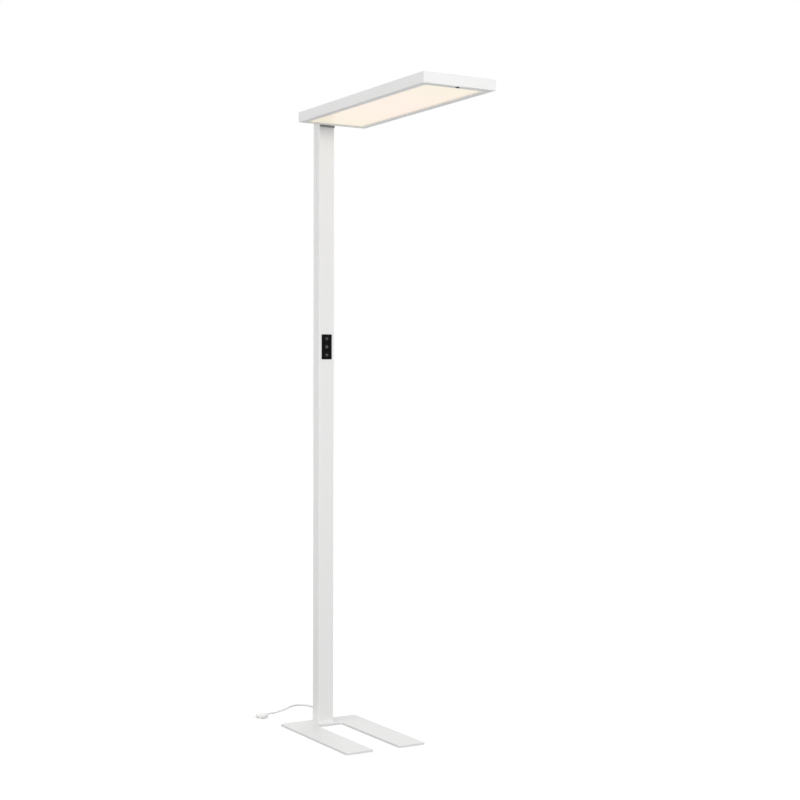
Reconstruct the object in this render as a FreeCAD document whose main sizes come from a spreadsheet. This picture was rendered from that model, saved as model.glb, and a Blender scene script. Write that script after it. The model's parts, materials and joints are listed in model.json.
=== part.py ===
import FreeCAD, Part
import math
import os

import Sketcher

Vector = FreeCAD.Vector

# Office floor lamp: a flat U-shaped steel base, a slim rectangular column, and a flat
# rectangular light head carried at one end on a short bracket. Millimetres, +Z up.
# The origin is on the floor under the column's axis, +X runs along the head to its free end
# and +Y is to the right of somebody who faces the control panel.

DIMENSIONS = {
    # whole lamp
    "overall_height": 1950.0,       # floor to the top of the head
    "clearance": 0.3,               # gap round pieces that are slipped in
    # base
    "base_length": 446.0,
    "base_width": 270.0,
    "plate_thickness": 6.0,
    "rear_overhang": 36.4,          # column axis to the rear edge
    "prong_width": 90.5,
    "notch_front": 43.5,            # column axis to the edge between the prongs
    "rear_radius": 8.0,
    "tip_radius": 3.0,
    "notch_radius": 8.0,
    "plate_edge_round": 0.8,
    "pad_thickness": 2.0,
    "pad_diameter": 26.0,
    "pad_inset": 28.0,              # pad centre to the plate's edges
    "foot_pad_depth": 46.0,
    "foot_pad_width": 56.0,
    # column
    "column_depth": 42.5,
    "column_width": 52.0,
    "column_wall": 2.2,
    "column_round": 1.0,
    "groove_width": 3.0,
    "groove_depth": 0.9,
    "cap_thickness": 3.0,
    "cap_plug_length": 2.5,
    "cap_wall": 2.0,
    "cap_drop": 4.0,                # top of the head down to the top of the cap
    "foot_block_height": 20.0,
    "foot_screw_size": 6.0,
    "foot_screw_head": 11.5,
    "foot_screw_length": 20.0,
    "foot_screw_spacing_x": 22.0,
    "foot_screw_spacing_y": 28.0,
    "lock_screw_size": 5.0,
    "lock_screw_head": 8.5,
    "lock_screw_head_height": 2.6,
    "lock_screw_length": 11.0,
    # bracket between the column and the head
    "flange_thickness": 4.0,
    "flange_drop": 1.0,             # underside of the head down to the flange's lower edge
    "flange_height": 25.0,
    "neck_width": 30.0,
    "neck_height": 14.0,
    "neck_lift": 9.5,               # underside of the head up to the neck's underside
    "neck_inside": 5.5,             # neck's reach into the head
    "tongue_length": 88.0,
    "tongue_thickness": 5.0,
    "channel_width": 8.0,
    "channel_height": 8.0,
    "nut_plate_thickness": 4.0,
    "nut_plate_height": 20.5,
    "flange_screw_size": 4.0,
    "flange_screw_head": 6.4,
    "flange_screw_spacing": 37.0,
    "flange_screw_length": 10.0,
    "tongue_screw_size": 4.0,
    "tongue_screw_head": 7.5,
    "tongue_screw_head_height": 2.5,
    "tongue_screw_spacing": 21.0,
    "tongue_screw_reach": 1.5,      # below the tray
    # head
    "head_start": 56.5,             # column axis to the head's near end
    "head_length": 756.0,
    "head_width": 238.0,
    "head_thickness": 31.5,
    "rail_wall": 2.5,
    "rail_edge_round": 0.8,
    "lip_thickness": 3.3,
    "side_lip": 22.0,
    "column_end_lip": 15.0,
    "sensor_end_lip": 28.0,
    "ledge_width": 6.0,
    "ledge_thickness": 1.5,
    "ledge_drop": 1.8,
    "key_leg": 26.0,
    "key_thickness": 3.0,
    "key_height": 14.0,
    "key_lift": 3.0,                # top of the lip up to the corner key
    "diffuser_thickness": 3.0,
    "tray_margin": 9.0,
    "tray_height": 10.4,
    "tray_sheet": 1.2,
    "sensor_bay": 22.0,
    "board_width": 36.0,
    "board_thickness": 1.6,
    "board_offset": 52.0,
    "board_inset": 24.0,
    "driver_length": 280.0,
    "driver_width": 44.0,
    "driver_height": 12.5,
    "terminal_start": 118.0,        # head's near end to the terminal block
    "terminal_length": 28.0,
    "terminal_width": 24.0,
    "terminal_height": 11.0,
    "cover_thickness": 1.5,
    "post_diameter": 7.0,
    "post_inset_x": 46.0,
    "post_inset_y": 30.0,
    "cover_screw_size": 3.0,
    "cover_screw_head": 5.6,
    "cover_screw_length": 7.0,
    # presence sensor in the free end's lip
    "sensor_setback": 14.0,
    "sensor_lens_diameter": 12.0,
    "sensor_lens_stand": 2.0,
    "sensor_case_length": 14.0,
    "sensor_case_width": 30.0,
    "sensor_case_height": 9.0,
    # control panel in the column's front face
    "panel_height": 1213.5,
    "panel_width": 36.0,
    "panel_length": 80.0,
    "panel_stand": 1.2,
    "panel_corner": 1.5,
    "collar_width": 31.2,
    "collar_length": 75.2,
    "collar_wall": 1.6,
    "collar_depth": 8.2,
    "case_depth": 8.0,
    "case_wall": 1.2,
    "case_post_diameter": 4.0,
    "case_post_inset": 3.5,
    "control_board_thickness": 1.6,
    "button_pitch": 26.0,
    "button_diameter": 13.0,
    "button_stand": 0.6,
    "button_gap": 0.25,
    "button_flange": 15.6,
    "button_flange_thickness": 1.0,
    "button_stem": 5.0,
    "button_travel": 0.8,
    "switch_size": 6.0,
    "switch_height": 3.0,
    "switch_plunger": 3.4,
    "switch_plunger_height": 0.8,
    # cable gland and leads
    "gland_height": 34.0,
    "gland_hole": 9.6,
    "gland_collar": 13.0,
    "gland_collar_thickness": 3.0,
    "gland_sleeve": 19.0,
    "gland_sleeve_tip": 8.2,
    "gland_inside": 4.0,
    "lead_diameter": 5.0,
    "lead_bend": 12.0,
    "lead_top_bend": 6.0,
    # mains cord, tied in a hank behind the column, and its plug
    "cord_diameter": 6.0,
    "hank_pitch": 6.65,
    "hank_inner": 16.3,
    "hank_run": 88.0,
    "hank_waist": 5.0,
    "hank_start": 98.0,
    "hank_angle": 27.56,
    "tie_width": 12.0,
    "tie_thickness": 0.8,
    "plug_length": 34.0,
    "plug_width": 35.0,
    "plug_height": 13.7,
    "plug_back_width": 17.0,
    "plug_taper": 10.0,
    "plug_edge_round": 3.0,
    "plug_sleeve_length": 14.0,
    "plug_sleeve_diameter": 10.0,
    "plug_sleeve_tip": 8.0,
    "pin_diameter": 4.0,
    "pin_length": 19.0,
    "pin_spacing": 18.6,
}

doc = FreeCAD.newDocument("office_floor_lamp")
sheet = doc.addObject("Spreadsheet::Sheet", "dims")
for row, (alias, value) in enumerate(DIMENSIONS.items(), start=1):
    sheet.set("A%d" % row, alias)
    sheet.set("B%d" % row, str(value))
    sheet.setAlias("B%d" % row, alias)
doc.recompute()


class Size:
    """A number together with the expression on the sheet's cells that gives it."""

    def __init__(self, text, value):
        self.text = text
        self.value = value

    def __add__(self, other):
        other = as_size(other)
        return Size("(%s + %s)" % (self.text, other.text), self.value + other.value)

    def __sub__(self, other):
        other = as_size(other)
        return Size("(%s - %s)" % (self.text, other.text), self.value - other.value)

    def __mul__(self, other):
        other = as_size(other)
        return Size("(%s * %s)" % (self.text, other.text), self.value * other.value)

    def __truediv__(self, other):
        other = as_size(other)
        return Size("(%s / %s)" % (self.text, other.text), self.value / other.value)

    def __neg__(self):
        return Size("(0 - %s)" % self.text, -self.value)

    def __radd__(self, other):
        return as_size(other) + self

    def __rsub__(self, other):
        return as_size(other) - self

    def __rmul__(self, other):
        return as_size(other) * self


def as_size(item):
    if isinstance(item, Size):
        return item
    return Size("%.6f" % item, float(item))


class Sizes:
    def __getattr__(self, alias):
        return Size("dims." + alias, float(sheet.get(alias)))


s = Sizes()
nodes = {}


def keep(obj, label):
    obj.Label = label
    nodes[label] = obj
    return obj


def bind(obj, prop, item):
    obj.setExpression(prop, as_size(item).text)


def place(obj, x=0.0, y=0.0, z=0.0):
    for axis, item in (("x", x), ("y", y), ("z", z)):
        bind(obj, "Placement.Base." + axis, item)


# ---- building blocks -----------------------------------------------------------------------

def box(name, x, y, z, length, width, height):
    """A box from its lowest corner."""
    obj = doc.addObject("Part::Box", name)
    bind(obj, "Length", length)
    bind(obj, "Width", width)
    bind(obj, "Height", height)
    place(obj, x, y, z)
    return obj


def centred_box(name, x, y, z, length, width, height):
    """A box centred on x and y, standing on z."""
    return box(name, x - as_size(length) / 2, y - as_size(width) / 2, z, length, width, height)


AXIS_TURNS = {
    "Z": FreeCAD.Rotation(),
    "X": FreeCAD.Rotation(Vector(0, 1, 0), 90),
    "-X": FreeCAD.Rotation(Vector(0, 1, 0), -90),
}


def cylinder(name, diameter, height, x, y, z, axis="Z"):
    obj = doc.addObject("Part::Cylinder", name)
    bind(obj, "Radius", as_size(diameter) / 2)
    bind(obj, "Height", height)
    obj.Placement = FreeCAD.Placement(Vector(), AXIS_TURNS[axis])
    place(obj, x, y, z)
    return obj


def cone(name, diameter1, diameter2, height, x, y, z, axis="Z"):
    obj = doc.addObject("Part::Cone", name)
    bind(obj, "Radius1", as_size(diameter1) / 2)
    bind(obj, "Radius2", as_size(diameter2) / 2)
    bind(obj, "Height", height)
    obj.Placement = FreeCAD.Placement(Vector(), AXIS_TURNS[axis])
    place(obj, x, y, z)
    return obj


def fuse(name, shapes):
    obj = doc.addObject("Part::MultiFuse", name)
    obj.Shapes = shapes
    return obj


def cut(name, base, tools):
    obj = doc.addObject("Part::Cut", name)
    obj.Base = base
    obj.Tool = tools[0] if len(tools) == 1 else fuse(name + "_tools", tools)
    return obj


def body(name):
    return doc.addObject("PartDesign::Body", name)


def outline(owner, name, plane, points, lift=None):
    """A closed outline on one of the body's planes, each corner tied to its two sizes."""
    sketch = owner.newObject("Sketcher::SketchObject", name)
    support = [item for item in owner.Origin.OriginFeatures if item.Role == plane][0]
    sketch.AttachmentSupport = [(support, "")]
    sketch.MapMode = "FlatFace"
    if lift is not None:
        bind(sketch, "AttachmentOffset.Base.z", lift)
    corners = [(as_size(x), as_size(y)) for x, y in points]
    places = [Vector(x.value, y.value, 0) for x, y in corners]
    count = len(places)
    for i in range(count):
        sketch.addGeometry(Part.LineSegment(places[i], places[(i + 1) % count]), False)
    for i in range(count):
        sketch.addConstraint(Sketcher.Constraint("Coincident", i, 2, (i + 1) % count, 1))
    for i, (x, y) in enumerate(corners):
        for kind, item, axis in (("DistanceX", x, -2), ("DistanceY", y, -1)):
            if abs(item.value) < 1e-9:
                sketch.addConstraint(Sketcher.Constraint("PointOnObject", i, 1, axis))
                continue
            number = sketch.addConstraint(
                Sketcher.Constraint(kind, -1, 1, i, 1, item.value))
            sketch.setExpression("Constraints[%d]" % number, item.text)
    return sketch


def pad(owner, name, points, length, lift=None, plane="XY_Plane"):
    sketch = outline(owner, name + "_outline", plane, points, lift)
    feature = owner.newObject("PartDesign::Pad", name)
    feature.Profile = sketch
    bind(feature, "Length", length)
    return feature


def pocket_up(owner, name, points, length, lift=None):
    """Cut upwards from an outline on the XY plane."""
    sketch = outline(owner, name + "_outline", "XY_Plane", points, lift)
    doc.recompute()
    before = owner.Shape.Volume
    feature = owner.newObject("PartDesign::Pocket", name)
    feature.Profile = sketch
    bind(feature, "Length", length)
    feature.Reversed = True
    doc.recompute()
    if owner.Shape.Volume > before - 1e-6:
        raise RuntimeError("pocket %s cut nothing" % name)
    return feature


def turned(name, profile, axis):
    """A turned piece: half its section, given as (along, radius), spun about X or Z."""
    owner = body(name)
    if axis == "Z":
        points = [(radius, along) for along, radius in profile]
    else:
        points = profile
    sketch = outline(owner, name + "_section", "XZ_Plane", points)
    feature = owner.newObject("PartDesign::Revolution", name + "_turning")
    feature.Profile = sketch
    feature.ReferenceAxis = (sketch, ["V_Axis" if axis == "Z" else "H_Axis"])
    feature.Angle = 360.0
    return owner


def round_edges(owner, name, radius, wanted):
    """Round the edges of the body for which wanted(edge) is true."""
    doc.recompute()
    base = owner.Tip
    names = ["Edge%d" % (i + 1) for i, edge in enumerate(base.Shape.Edges) if wanted(edge)]
    if not names:
        raise RuntimeError("no edge found for %s" % name)
    feature = owner.newObject("PartDesign::Fillet", name)
    feature.Base = (base, names)
    bind(feature, "Radius", radius)
    return feature


def runs_along(edge, axis):
    if not isinstance(edge.Curve, Part.Line):
        return False
    first, last = edge.Vertexes[0].Point, edge.Vertexes[-1].Point
    way = (last - first).normalize()
    return abs(abs(getattr(way, axis)) - 1.0) < 1e-6


def near(value, item, slack=1e-4):
    return abs(value - as_size(item).value) < slack


def rectangle(length, width, x=0.0, y=0.0):
    half_x, half_y = as_size(length) / 2, as_size(width) / 2
    return [(x - half_x, y - half_y), (x + half_x, y - half_y),
            (x + half_x, y + half_y), (x - half_x, y + half_y)]


# ---- levels and places that several pieces share ---------------------------------------------

plate_bottom = s.pad_thickness
plate_top = plate_bottom + s.plate_thickness
base_front = s.base_length - s.rear_overhang
half_base = s.base_width / 2
notch_side = half_base - s.prong_width

column_front = s.column_depth / 2
column_rear = -s.column_depth / 2
column_inner_front = column_front - s.column_wall
column_inner_rear = column_rear + s.column_wall
column_top = s.overall_height - s.cap_drop - s.cap_thickness

head_bottom = s.overall_height - s.head_thickness
head_end = s.head_start + s.head_length
half_head = s.head_width / 2
lip_top = head_bottom + s.lip_thickness
tray_top = lip_top + s.tray_height
cover_bottom = s.overall_height - s.ledge_drop
neck_bottom = head_bottom + s.neck_lift
neck_axis = neck_bottom + s.neck_height / 2
neck_end = s.head_start + s.neck_inside
flange_bottom = head_bottom - s.flange_drop
flange_front = column_front + s.flange_thickness
flange_middle = flange_bottom + s.flange_height / 2
case_front = column_front - s.collar_depth
lead_line = case_front - s.case_depth / 2

# ---- base ------------------------------------------------------------------------------------

plate = body("plate_body")
pad(plate, "plate_sheet", [
    (-s.rear_overhang, -half_base), (base_front, -half_base),
    (base_front, -notch_side), (s.notch_front, -notch_side),
    (s.notch_front, notch_side), (base_front, notch_side),
    (base_front, half_base), (-s.rear_overhang, half_base)], s.plate_thickness)
for tag, radius, line in (("rear", s.rear_radius, -s.rear_overhang),
                          ("tip", s.tip_radius, base_front),
                          ("notch", s.notch_radius, s.notch_front)):
    round_edges(plate, "plate_" + tag + "_corners", radius,
                lambda e: runs_along(e, "z") and near(e.Vertexes[0].X, line))
round_edges(plate, "plate_top_edge", s.plate_edge_round,
            lambda e: all(near(v.Z, s.plate_thickness) for v in e.Vertexes))
place(plate, 0.0, 0.0, plate_bottom)

foot_places = []
for tag, sign_x, sign_y in (("rear_left", -1, -1), ("rear_right", -1, 1),
                            ("front_left", 1, -1), ("front_right", 1, 1)):
    foot_places.append((tag, s.foot_screw_spacing_x * (0.5 * sign_x),
                        s.foot_screw_spacing_y * (0.5 * sign_y)))
sink = (s.foot_screw_head - s.foot_screw_size) / 2
screw_holes = []
for tag, x, y in foot_places:
    hole = s.foot_screw_size + 2 * s.clearance
    screw_holes.append(cylinder("plate_hole_" + tag, hole, s.plate_thickness + 2,
                                x, y, plate_bottom - 1))
    screw_holes.append(cone("plate_sink_" + tag, s.foot_screw_head + 2 * s.clearance, hole,
                            sink, x, y, plate_bottom))
keep(cut("base_plate_drilled", plate, screw_holes), "base_plate")

for tag, x, y in (("rear_left", -s.rear_overhang + s.pad_inset, -half_base + s.pad_inset),
                  ("rear_right", -s.rear_overhang + s.pad_inset, half_base - s.pad_inset),
                  ("front_left", base_front - s.pad_inset, -half_base + s.pad_inset),
                  ("front_right", base_front - s.pad_inset, half_base - s.pad_inset)):
    keep(cylinder("pad_" + tag, s.pad_diameter, s.pad_thickness, x, y, 0.0), "base_pad_" + tag)
keep(centred_box("foot_pad_sheet", 0.0, 0.0, 0.0, s.foot_pad_depth, s.foot_pad_width,
                 s.pad_thickness), "foot_pad")

# block inside the column's foot, drawn down on the plate by four countersunk screws
block_depth = s.column_depth - 2 * s.column_wall - 2 * s.clearance
block_width = s.column_width - 2 * s.column_wall - 2 * s.clearance
block_body = centred_box("foot_block_blank", 0.0, 0.0, plate_top, block_depth, block_width,
                         s.foot_block_height)
thread_depth = s.foot_screw_length - s.plate_thickness
block_holes = []
for tag, x, y in foot_places:
    block_holes.append(cylinder("block_hole_" + tag, s.foot_screw_size + s.clearance,
                                thread_depth + 1, x, y, plate_top))
lock_height = plate_top + s.foot_block_height / 2
block_rear = -block_depth / 2
lock_reach = s.lock_screw_length - s.column_wall - s.clearance
block_holes.append(cylinder("block_hole_lock", s.lock_screw_size + s.clearance,
                            lock_reach + 1, block_rear, 0.0, lock_height, "X"))
keep(cut("foot_block_drilled", block_body, block_holes), "foot_block")

for tag, x, y in foot_places:
    screw = turned("foot_screw_blank_" + tag, [
        (0.0, 0.0), (0.0, s.foot_screw_head / 2), (sink, s.foot_screw_size / 2),
        (s.foot_screw_length, s.foot_screw_size / 2), (s.foot_screw_length, 0.0)], "Z")
    place(screw, x, y, plate_bottom)
    keep(screw, "foot_screw_" + tag)

lock = turned("lock_screw_blank", [
    (-s.lock_screw_head_height, 0.0), (-s.lock_screw_head_height, s.lock_screw_head / 4),
    (-s.lock_screw_head_height / 2, s.lock_screw_head / 2), (0.0, s.lock_screw_head / 2),
    (0.0, s.lock_screw_size / 2), (s.lock_screw_length, s.lock_screw_size / 2),
    (s.lock_screw_length, 0.0)], "X")
place(lock, column_rear, 0.0, lock_height)
keep(lock, "foot_lock_screw")

# ---- column ----------------------------------------------------------------------------------

profile = body("column_body")
profile_length = column_top - plate_top
pad(profile, "column_blank", rectangle(s.column_depth, s.column_width), profile_length)
round_edges(profile, "column_corners", s.column_round, lambda e: runs_along(e, "z"))
pocket_up(profile, "column_hollow",
          rectangle(s.column_depth - 2 * s.column_wall, s.column_width - 2 * s.column_wall),
          profile_length)
for tag, sign in (("left", -1), ("right", 1)):
    edge_y = s.column_width * (0.5 * sign)
    pocket_up(profile, "column_groove_" + tag,
              rectangle(s.groove_width, 2 * s.groove_depth, 0.0, edge_y), profile_length)
place(profile, 0.0, 0.0, plate_top)

opening_width = s.collar_width + 2 * s.clearance
opening_length = s.collar_length + 2 * s.clearance
wall_cut = s.column_wall + 2
column_cuts = [
    centred_box("column_panel_opening", column_front, 0.0, s.panel_height - opening_length / 2,
                2 * wall_cut, opening_width, opening_length),
    cylinder("column_lead_hole", s.lead_diameter + 4 * s.clearance, wall_cut,
             column_inner_front - 1, 0.0, neck_axis, "X"),
    cylinder("column_gland_hole", s.gland_hole + s.clearance, wall_cut,
             column_rear - 1, 0.0, s.gland_height, "X"),
    cylinder("column_lock_hole", s.lock_screw_size + 2 * s.clearance, wall_cut,
             column_rear - 1, 0.0, lock_height, "X"),
]
flange_screw_places = [("left", s.flange_screw_spacing * -0.5),
                       ("right", s.flange_screw_spacing * 0.5)]
for tag, y in flange_screw_places:
    column_cuts.append(cylinder("column_flange_hole_" + tag,
                                s.flange_screw_size + 2 * s.clearance, wall_cut,
                                column_inner_front - 1, y, flange_middle, "X"))
keep(cut("column_drilled", profile, column_cuts), "column_profile")

cap_blank = body("cap_body")
pad(cap_blank, "cap_plate", rectangle(s.column_depth, s.column_width), s.cap_thickness)
round_edges(cap_blank, "cap_corners", s.column_round, lambda e: runs_along(e, "z"))
place(cap_blank, 0.0, 0.0, column_top)
skirt_depth = s.column_depth - 2 * s.column_wall - 2 * s.clearance
skirt_width = s.column_width - 2 * s.column_wall - 2 * s.clearance
skirt = cut("cap_skirt", centred_box("cap_skirt_outer", 0.0, 0.0, column_top - s.cap_plug_length,
                                     skirt_depth, skirt_width, s.cap_plug_length), [
    centred_box("cap_skirt_inner", 0.0, 0.0, column_top - s.cap_plug_length - 1,
                skirt_depth - 2 * s.cap_wall, skirt_width - 2 * s.cap_wall,
                s.cap_plug_length + 1)])
keep(fuse("cap_with_skirt", [cap_blank, skirt]), "column_cap")

# ---- bracket that carries the head -------------------------------------------------------------

tongue_end = neck_end + s.tongue_length
bracket_blank = fuse("bracket_blank", [
    centred_box("bracket_flange", column_front + s.flange_thickness / 2, 0.0, flange_bottom,
                s.flange_thickness, s.column_width, s.flange_height),
    box("bracket_neck", column_front, s.neck_width * -0.5, neck_bottom,
        neck_end - column_front, s.neck_width, s.neck_height),
    box("bracket_tongue", neck_end - 1, s.neck_width * -0.5, tray_top,
        s.tongue_length + 1, s.neck_width, s.tongue_thickness)])
channel = centred_box("bracket_channel", (column_front + tongue_end) / 2, 0.0,
                      neck_axis - s.channel_height / 2, tongue_end - column_front + 2,
                      s.channel_width, s.channel_height)
flange_sink = (s.flange_screw_head - s.flange_screw_size) / 2
tongue_screw_x = neck_end + s.tongue_length * 0.75
tongue_screw_places = [("left", s.tongue_screw_spacing * -0.5),
                       ("right", s.tongue_screw_spacing * 0.5)]
bracket_cuts = [channel]
for tag, y in flange_screw_places:
    hole = s.flange_screw_size + 2 * s.clearance
    bracket_cuts.append(cylinder("bracket_hole_" + tag, hole, s.flange_thickness + 2,
                                 column_front - 1, y, flange_middle, "X"))
    bracket_cuts.append(cone("bracket_sink_" + tag, s.flange_screw_head + 2 * s.clearance, hole,
                             flange_sink, flange_front, y, flange_middle, "-X"))
for tag, y in tongue_screw_places:
    bracket_cuts.append(cylinder("tongue_hole_" + tag, s.tongue_screw_size + 2 * s.clearance,
                                 s.tongue_thickness + 2, tongue_screw_x, y, tray_top - 1))
keep(cut("bracket_drilled", bracket_blank, bracket_cuts), "head_bracket")

nut_plate = box("nut_plate_blank", column_inner_front - s.nut_plate_thickness,
                skirt_width * -0.5, flange_bottom + 1.5, s.nut_plate_thickness, skirt_width,
                s.nut_plate_height)
nut_cuts = [cylinder("nut_plate_lead_hole", s.lead_diameter + 4 * s.clearance,
                     s.nut_plate_thickness + 2,
                     column_inner_front - s.nut_plate_thickness - 1, 0.0, neck_axis, "X")]
for tag, y in flange_screw_places:
    nut_cuts.append(cylinder("nut_plate_hole_" + tag, s.flange_screw_size + s.clearance,
                             s.nut_plate_thickness + 2,
                             column_inner_front - s.nut_plate_thickness - 1, y,
                             flange_middle, "X"))
keep(cut("nut_plate_drilled", nut_plate, nut_cuts), "bracket_nut_plate")

for tag, y in flange_screw_places:
    screw = turned("flange_screw_blank_" + tag, [
        (-s.flange_screw_length, 0.0), (-s.flange_screw_length, s.flange_screw_size / 2),
        (-flange_sink, s.flange_screw_size / 2), (0.0, s.flange_screw_head / 2), (0.0, 0.0)],
        "X")
    place(screw, flange_front, y, flange_middle)
    keep(screw, "flange_screw_" + tag)

tongue_screw_length = s.tongue_thickness + s.tray_sheet + s.tongue_screw_reach
for tag, y in tongue_screw_places:
    screw = turned("tongue_screw_blank_" + tag, [
        (-tongue_screw_length, 0.0), (-tongue_screw_length, s.tongue_screw_size / 2),
        (0.0, s.tongue_screw_size / 2), (0.0, s.tongue_screw_head / 2),
        (s.tongue_screw_head_height, s.tongue_screw_head / 2),
        (s.tongue_screw_head_height, 0.0)], "Z")
    place(screw, tongue_screw_x, y, tray_top + s.tongue_thickness)
    keep(screw, "tongue_screw_" + tag)

# ---- frame of the head: two long rails and two end rails, mitred, with a lip underneath ---------

def rail(name, lip, wall, ledge, outer_axis, outer):
    """One rail of the frame, in the head's own frame: x from its near end, z from below."""
    owner = body(name + "_body")
    pad(owner, name + "_lip", lip, s.lip_thickness)
    pad(owner, name + "_wall", wall, s.head_thickness - s.lip_thickness, s.lip_thickness)
    pad(owner, name + "_ledge", ledge, s.ledge_thickness,
        s.head_thickness - s.ledge_drop - s.ledge_thickness)
    along = "x" if outer_axis == "Y" else "y"
    round_edges(owner, name + "_outer_edges", s.rail_edge_round,
                lambda e: runs_along(e, along)
                and near(getattr(e.Vertexes[0], outer_axis), outer)
                and (near(e.Vertexes[0].Z, 0.0) or near(e.Vertexes[0].Z, s.head_thickness)))
    place(owner, s.head_start, 0.0, head_bottom)
    return owner


wall_in = s.rail_wall
ledge_in = s.rail_wall + s.ledge_width
for tag, sign in (("left", -1), ("right", 1)):
    outer_y = half_head * sign
    keep(rail("side_rail_" + tag,
              [(0.0, outer_y), (s.head_length, outer_y),
               (s.head_length - s.sensor_end_lip, outer_y - s.side_lip * sign),
               (s.column_end_lip, outer_y - s.side_lip * sign)],
              [(0.0, outer_y), (s.head_length, outer_y),
               (s.head_length - wall_in, outer_y - wall_in * sign),
               (wall_in, outer_y - wall_in * sign)],
              [(wall_in, outer_y - wall_in * sign),
               (s.head_length - wall_in, outer_y - wall_in * sign),
               (s.head_length - ledge_in, outer_y - ledge_in * sign),
               (ledge_in, outer_y - ledge_in * sign)], "Y", outer_y), "side_rail_" + tag)


def end_outlines(outer_x, lip, sign):
    inner_y = half_head - s.side_lip
    wall_y = half_head - wall_in
    ledge_y = half_head - ledge_in
    return ([(outer_x, -half_head), (outer_x, half_head),
             (outer_x - lip * sign, inner_y), (outer_x - lip * sign, -inner_y)],
            [(outer_x, -half_head), (outer_x, half_head),
             (outer_x - wall_in * sign, wall_y), (outer_x - wall_in * sign, -wall_y)],
            [(outer_x - wall_in * sign, -wall_y), (outer_x - wall_in * sign, wall_y),
             (outer_x - ledge_in * sign, ledge_y), (outer_x - ledge_in * sign, -ledge_y)])


near_rail = rail("end_rail_column", *end_outlines(as_size(0.0), s.column_end_lip, -1), "X", 0.0)
neck_opening = box("end_rail_neck_opening", s.head_start - 1,
                   (s.neck_width + 2 * s.clearance) * -0.5, neck_bottom - s.clearance,
                   s.rail_wall + 2, s.neck_width + 2 * s.clearance,
                   s.neck_height + 2 * s.clearance)
keep(cut("end_rail_column_cut", near_rail, [neck_opening]), "end_rail_column")

far_rail = rail("end_rail_sensor", *end_outlines(s.head_length, s.sensor_end_lip, 1),
                "X", s.head_length)
sensor_x = head_end - s.sensor_setback
lens_hole = cylinder("end_rail_lens_hole", s.sensor_lens_diameter + s.clearance,
                     s.lip_thickness + 2, sensor_x, 0.0, head_bottom - 1)
keep(cut("end_rail_sensor_cut", far_rail, [lens_hole]), "end_rail_sensor")

for end_tag, corner_x, sign_x in (("column", s.head_start + wall_in, 1),
                                  ("sensor", head_end - wall_in, -1)):
    for side_tag, corner_y, sign_y in (("left", wall_in - half_head, 1),
                                       ("right", half_head - wall_in, -1)):
        name = "corner_key_%s_%s" % (end_tag, side_tag)
        leg, thick = s.key_leg, s.key_thickness
        corners = [(0.0, 0.0), (leg, 0.0), (leg, thick), (thick, thick), (thick, leg), (0.0, leg)]
        key = body(name + "_body")
        pad(key, name + "_bar", [(as_size(u) * sign_x, as_size(v) * sign_y)
                                 for u, v in corners], s.key_height)
        place(key, corner_x, corner_y, lip_top + s.key_lift)
        keep(key, name)

# ---- inside the head -------------------------------------------------------------------------

tray_near = s.head_start + s.tray_margin
tray_far = head_end - s.sensor_bay
tray_length = tray_far - tray_near
tray_width = s.head_width - 2 * s.tray_margin
tray_middle = (tray_near + tray_far) / 2
pan = cut("tray_pan", centred_box("tray_outer", tray_middle, 0.0, lip_top, tray_length,
                                  tray_width, s.tray_height), [
    centred_box("tray_inner", tray_middle, 0.0, lip_top - 1, tray_length - 2 * s.tray_sheet,
                tray_width - 2 * s.tray_sheet, s.tray_height - s.tray_sheet + 1)])
post_places = []
for end_tag, x in (("near", s.head_start + s.post_inset_x), ("far", head_end - s.post_inset_x)):
    for side_tag, y in (("left", s.post_inset_y - half_head), ("right", half_head - s.post_inset_y)):
        post_places.append((end_tag + "_" + side_tag, x, y))
cover_top = cover_bottom + s.cover_thickness
tray_parts = [pan]
tray_cuts = []
for tag, x, y in post_places:
    tray_parts.append(cylinder("tray_post_" + tag, s.post_diameter,
                               cover_bottom - tray_top + s.tray_sheet / 2, x, y,
                               tray_top - s.tray_sheet / 2))
    tray_cuts.append(cylinder("tray_thread_" + tag, s.cover_screw_size + s.clearance,
                              s.cover_screw_length, x, y,
                              cover_top - s.cover_screw_length - 1))
for tag, y in tongue_screw_places:
    tray_cuts.append(cylinder("tray_hole_" + tag, s.tongue_screw_size + s.clearance,
                              s.tray_sheet + 2, tongue_screw_x, y, tray_top - s.tray_sheet - 1))
keep(cut("tray_drilled", fuse("tray_with_posts", tray_parts), tray_cuts), "led_tray")

keep(centred_box("diffuser_sheet", tray_middle, 0.0, lip_top,
                 tray_length - 2 * s.tray_sheet - 2 * s.clearance,
                 tray_width - 2 * s.tray_sheet - 2 * s.clearance, s.diffuser_thickness),
     "diffuser")

board_length = tray_length - 2 * s.board_inset
for tag, sign in (("left", -1), ("right", 1)):
    keep(centred_box("board_" + tag, tray_middle, s.board_offset * sign,
                     tray_top - s.tray_sheet - s.board_thickness, board_length, s.board_width,
                     s.board_thickness), "led_board_" + tag)

terminal_near = s.head_start + s.terminal_start
keep(centred_box("terminal_case", terminal_near + s.terminal_length / 2, 0.0, tray_top,
                 s.terminal_length, s.terminal_width, s.terminal_height), "terminal_block")
keep(centred_box("driver_case", terminal_near + s.terminal_length + s.driver_length / 2, 0.0,
                 tray_top, s.driver_length, s.driver_width, s.driver_height), "led_driver")

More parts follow.
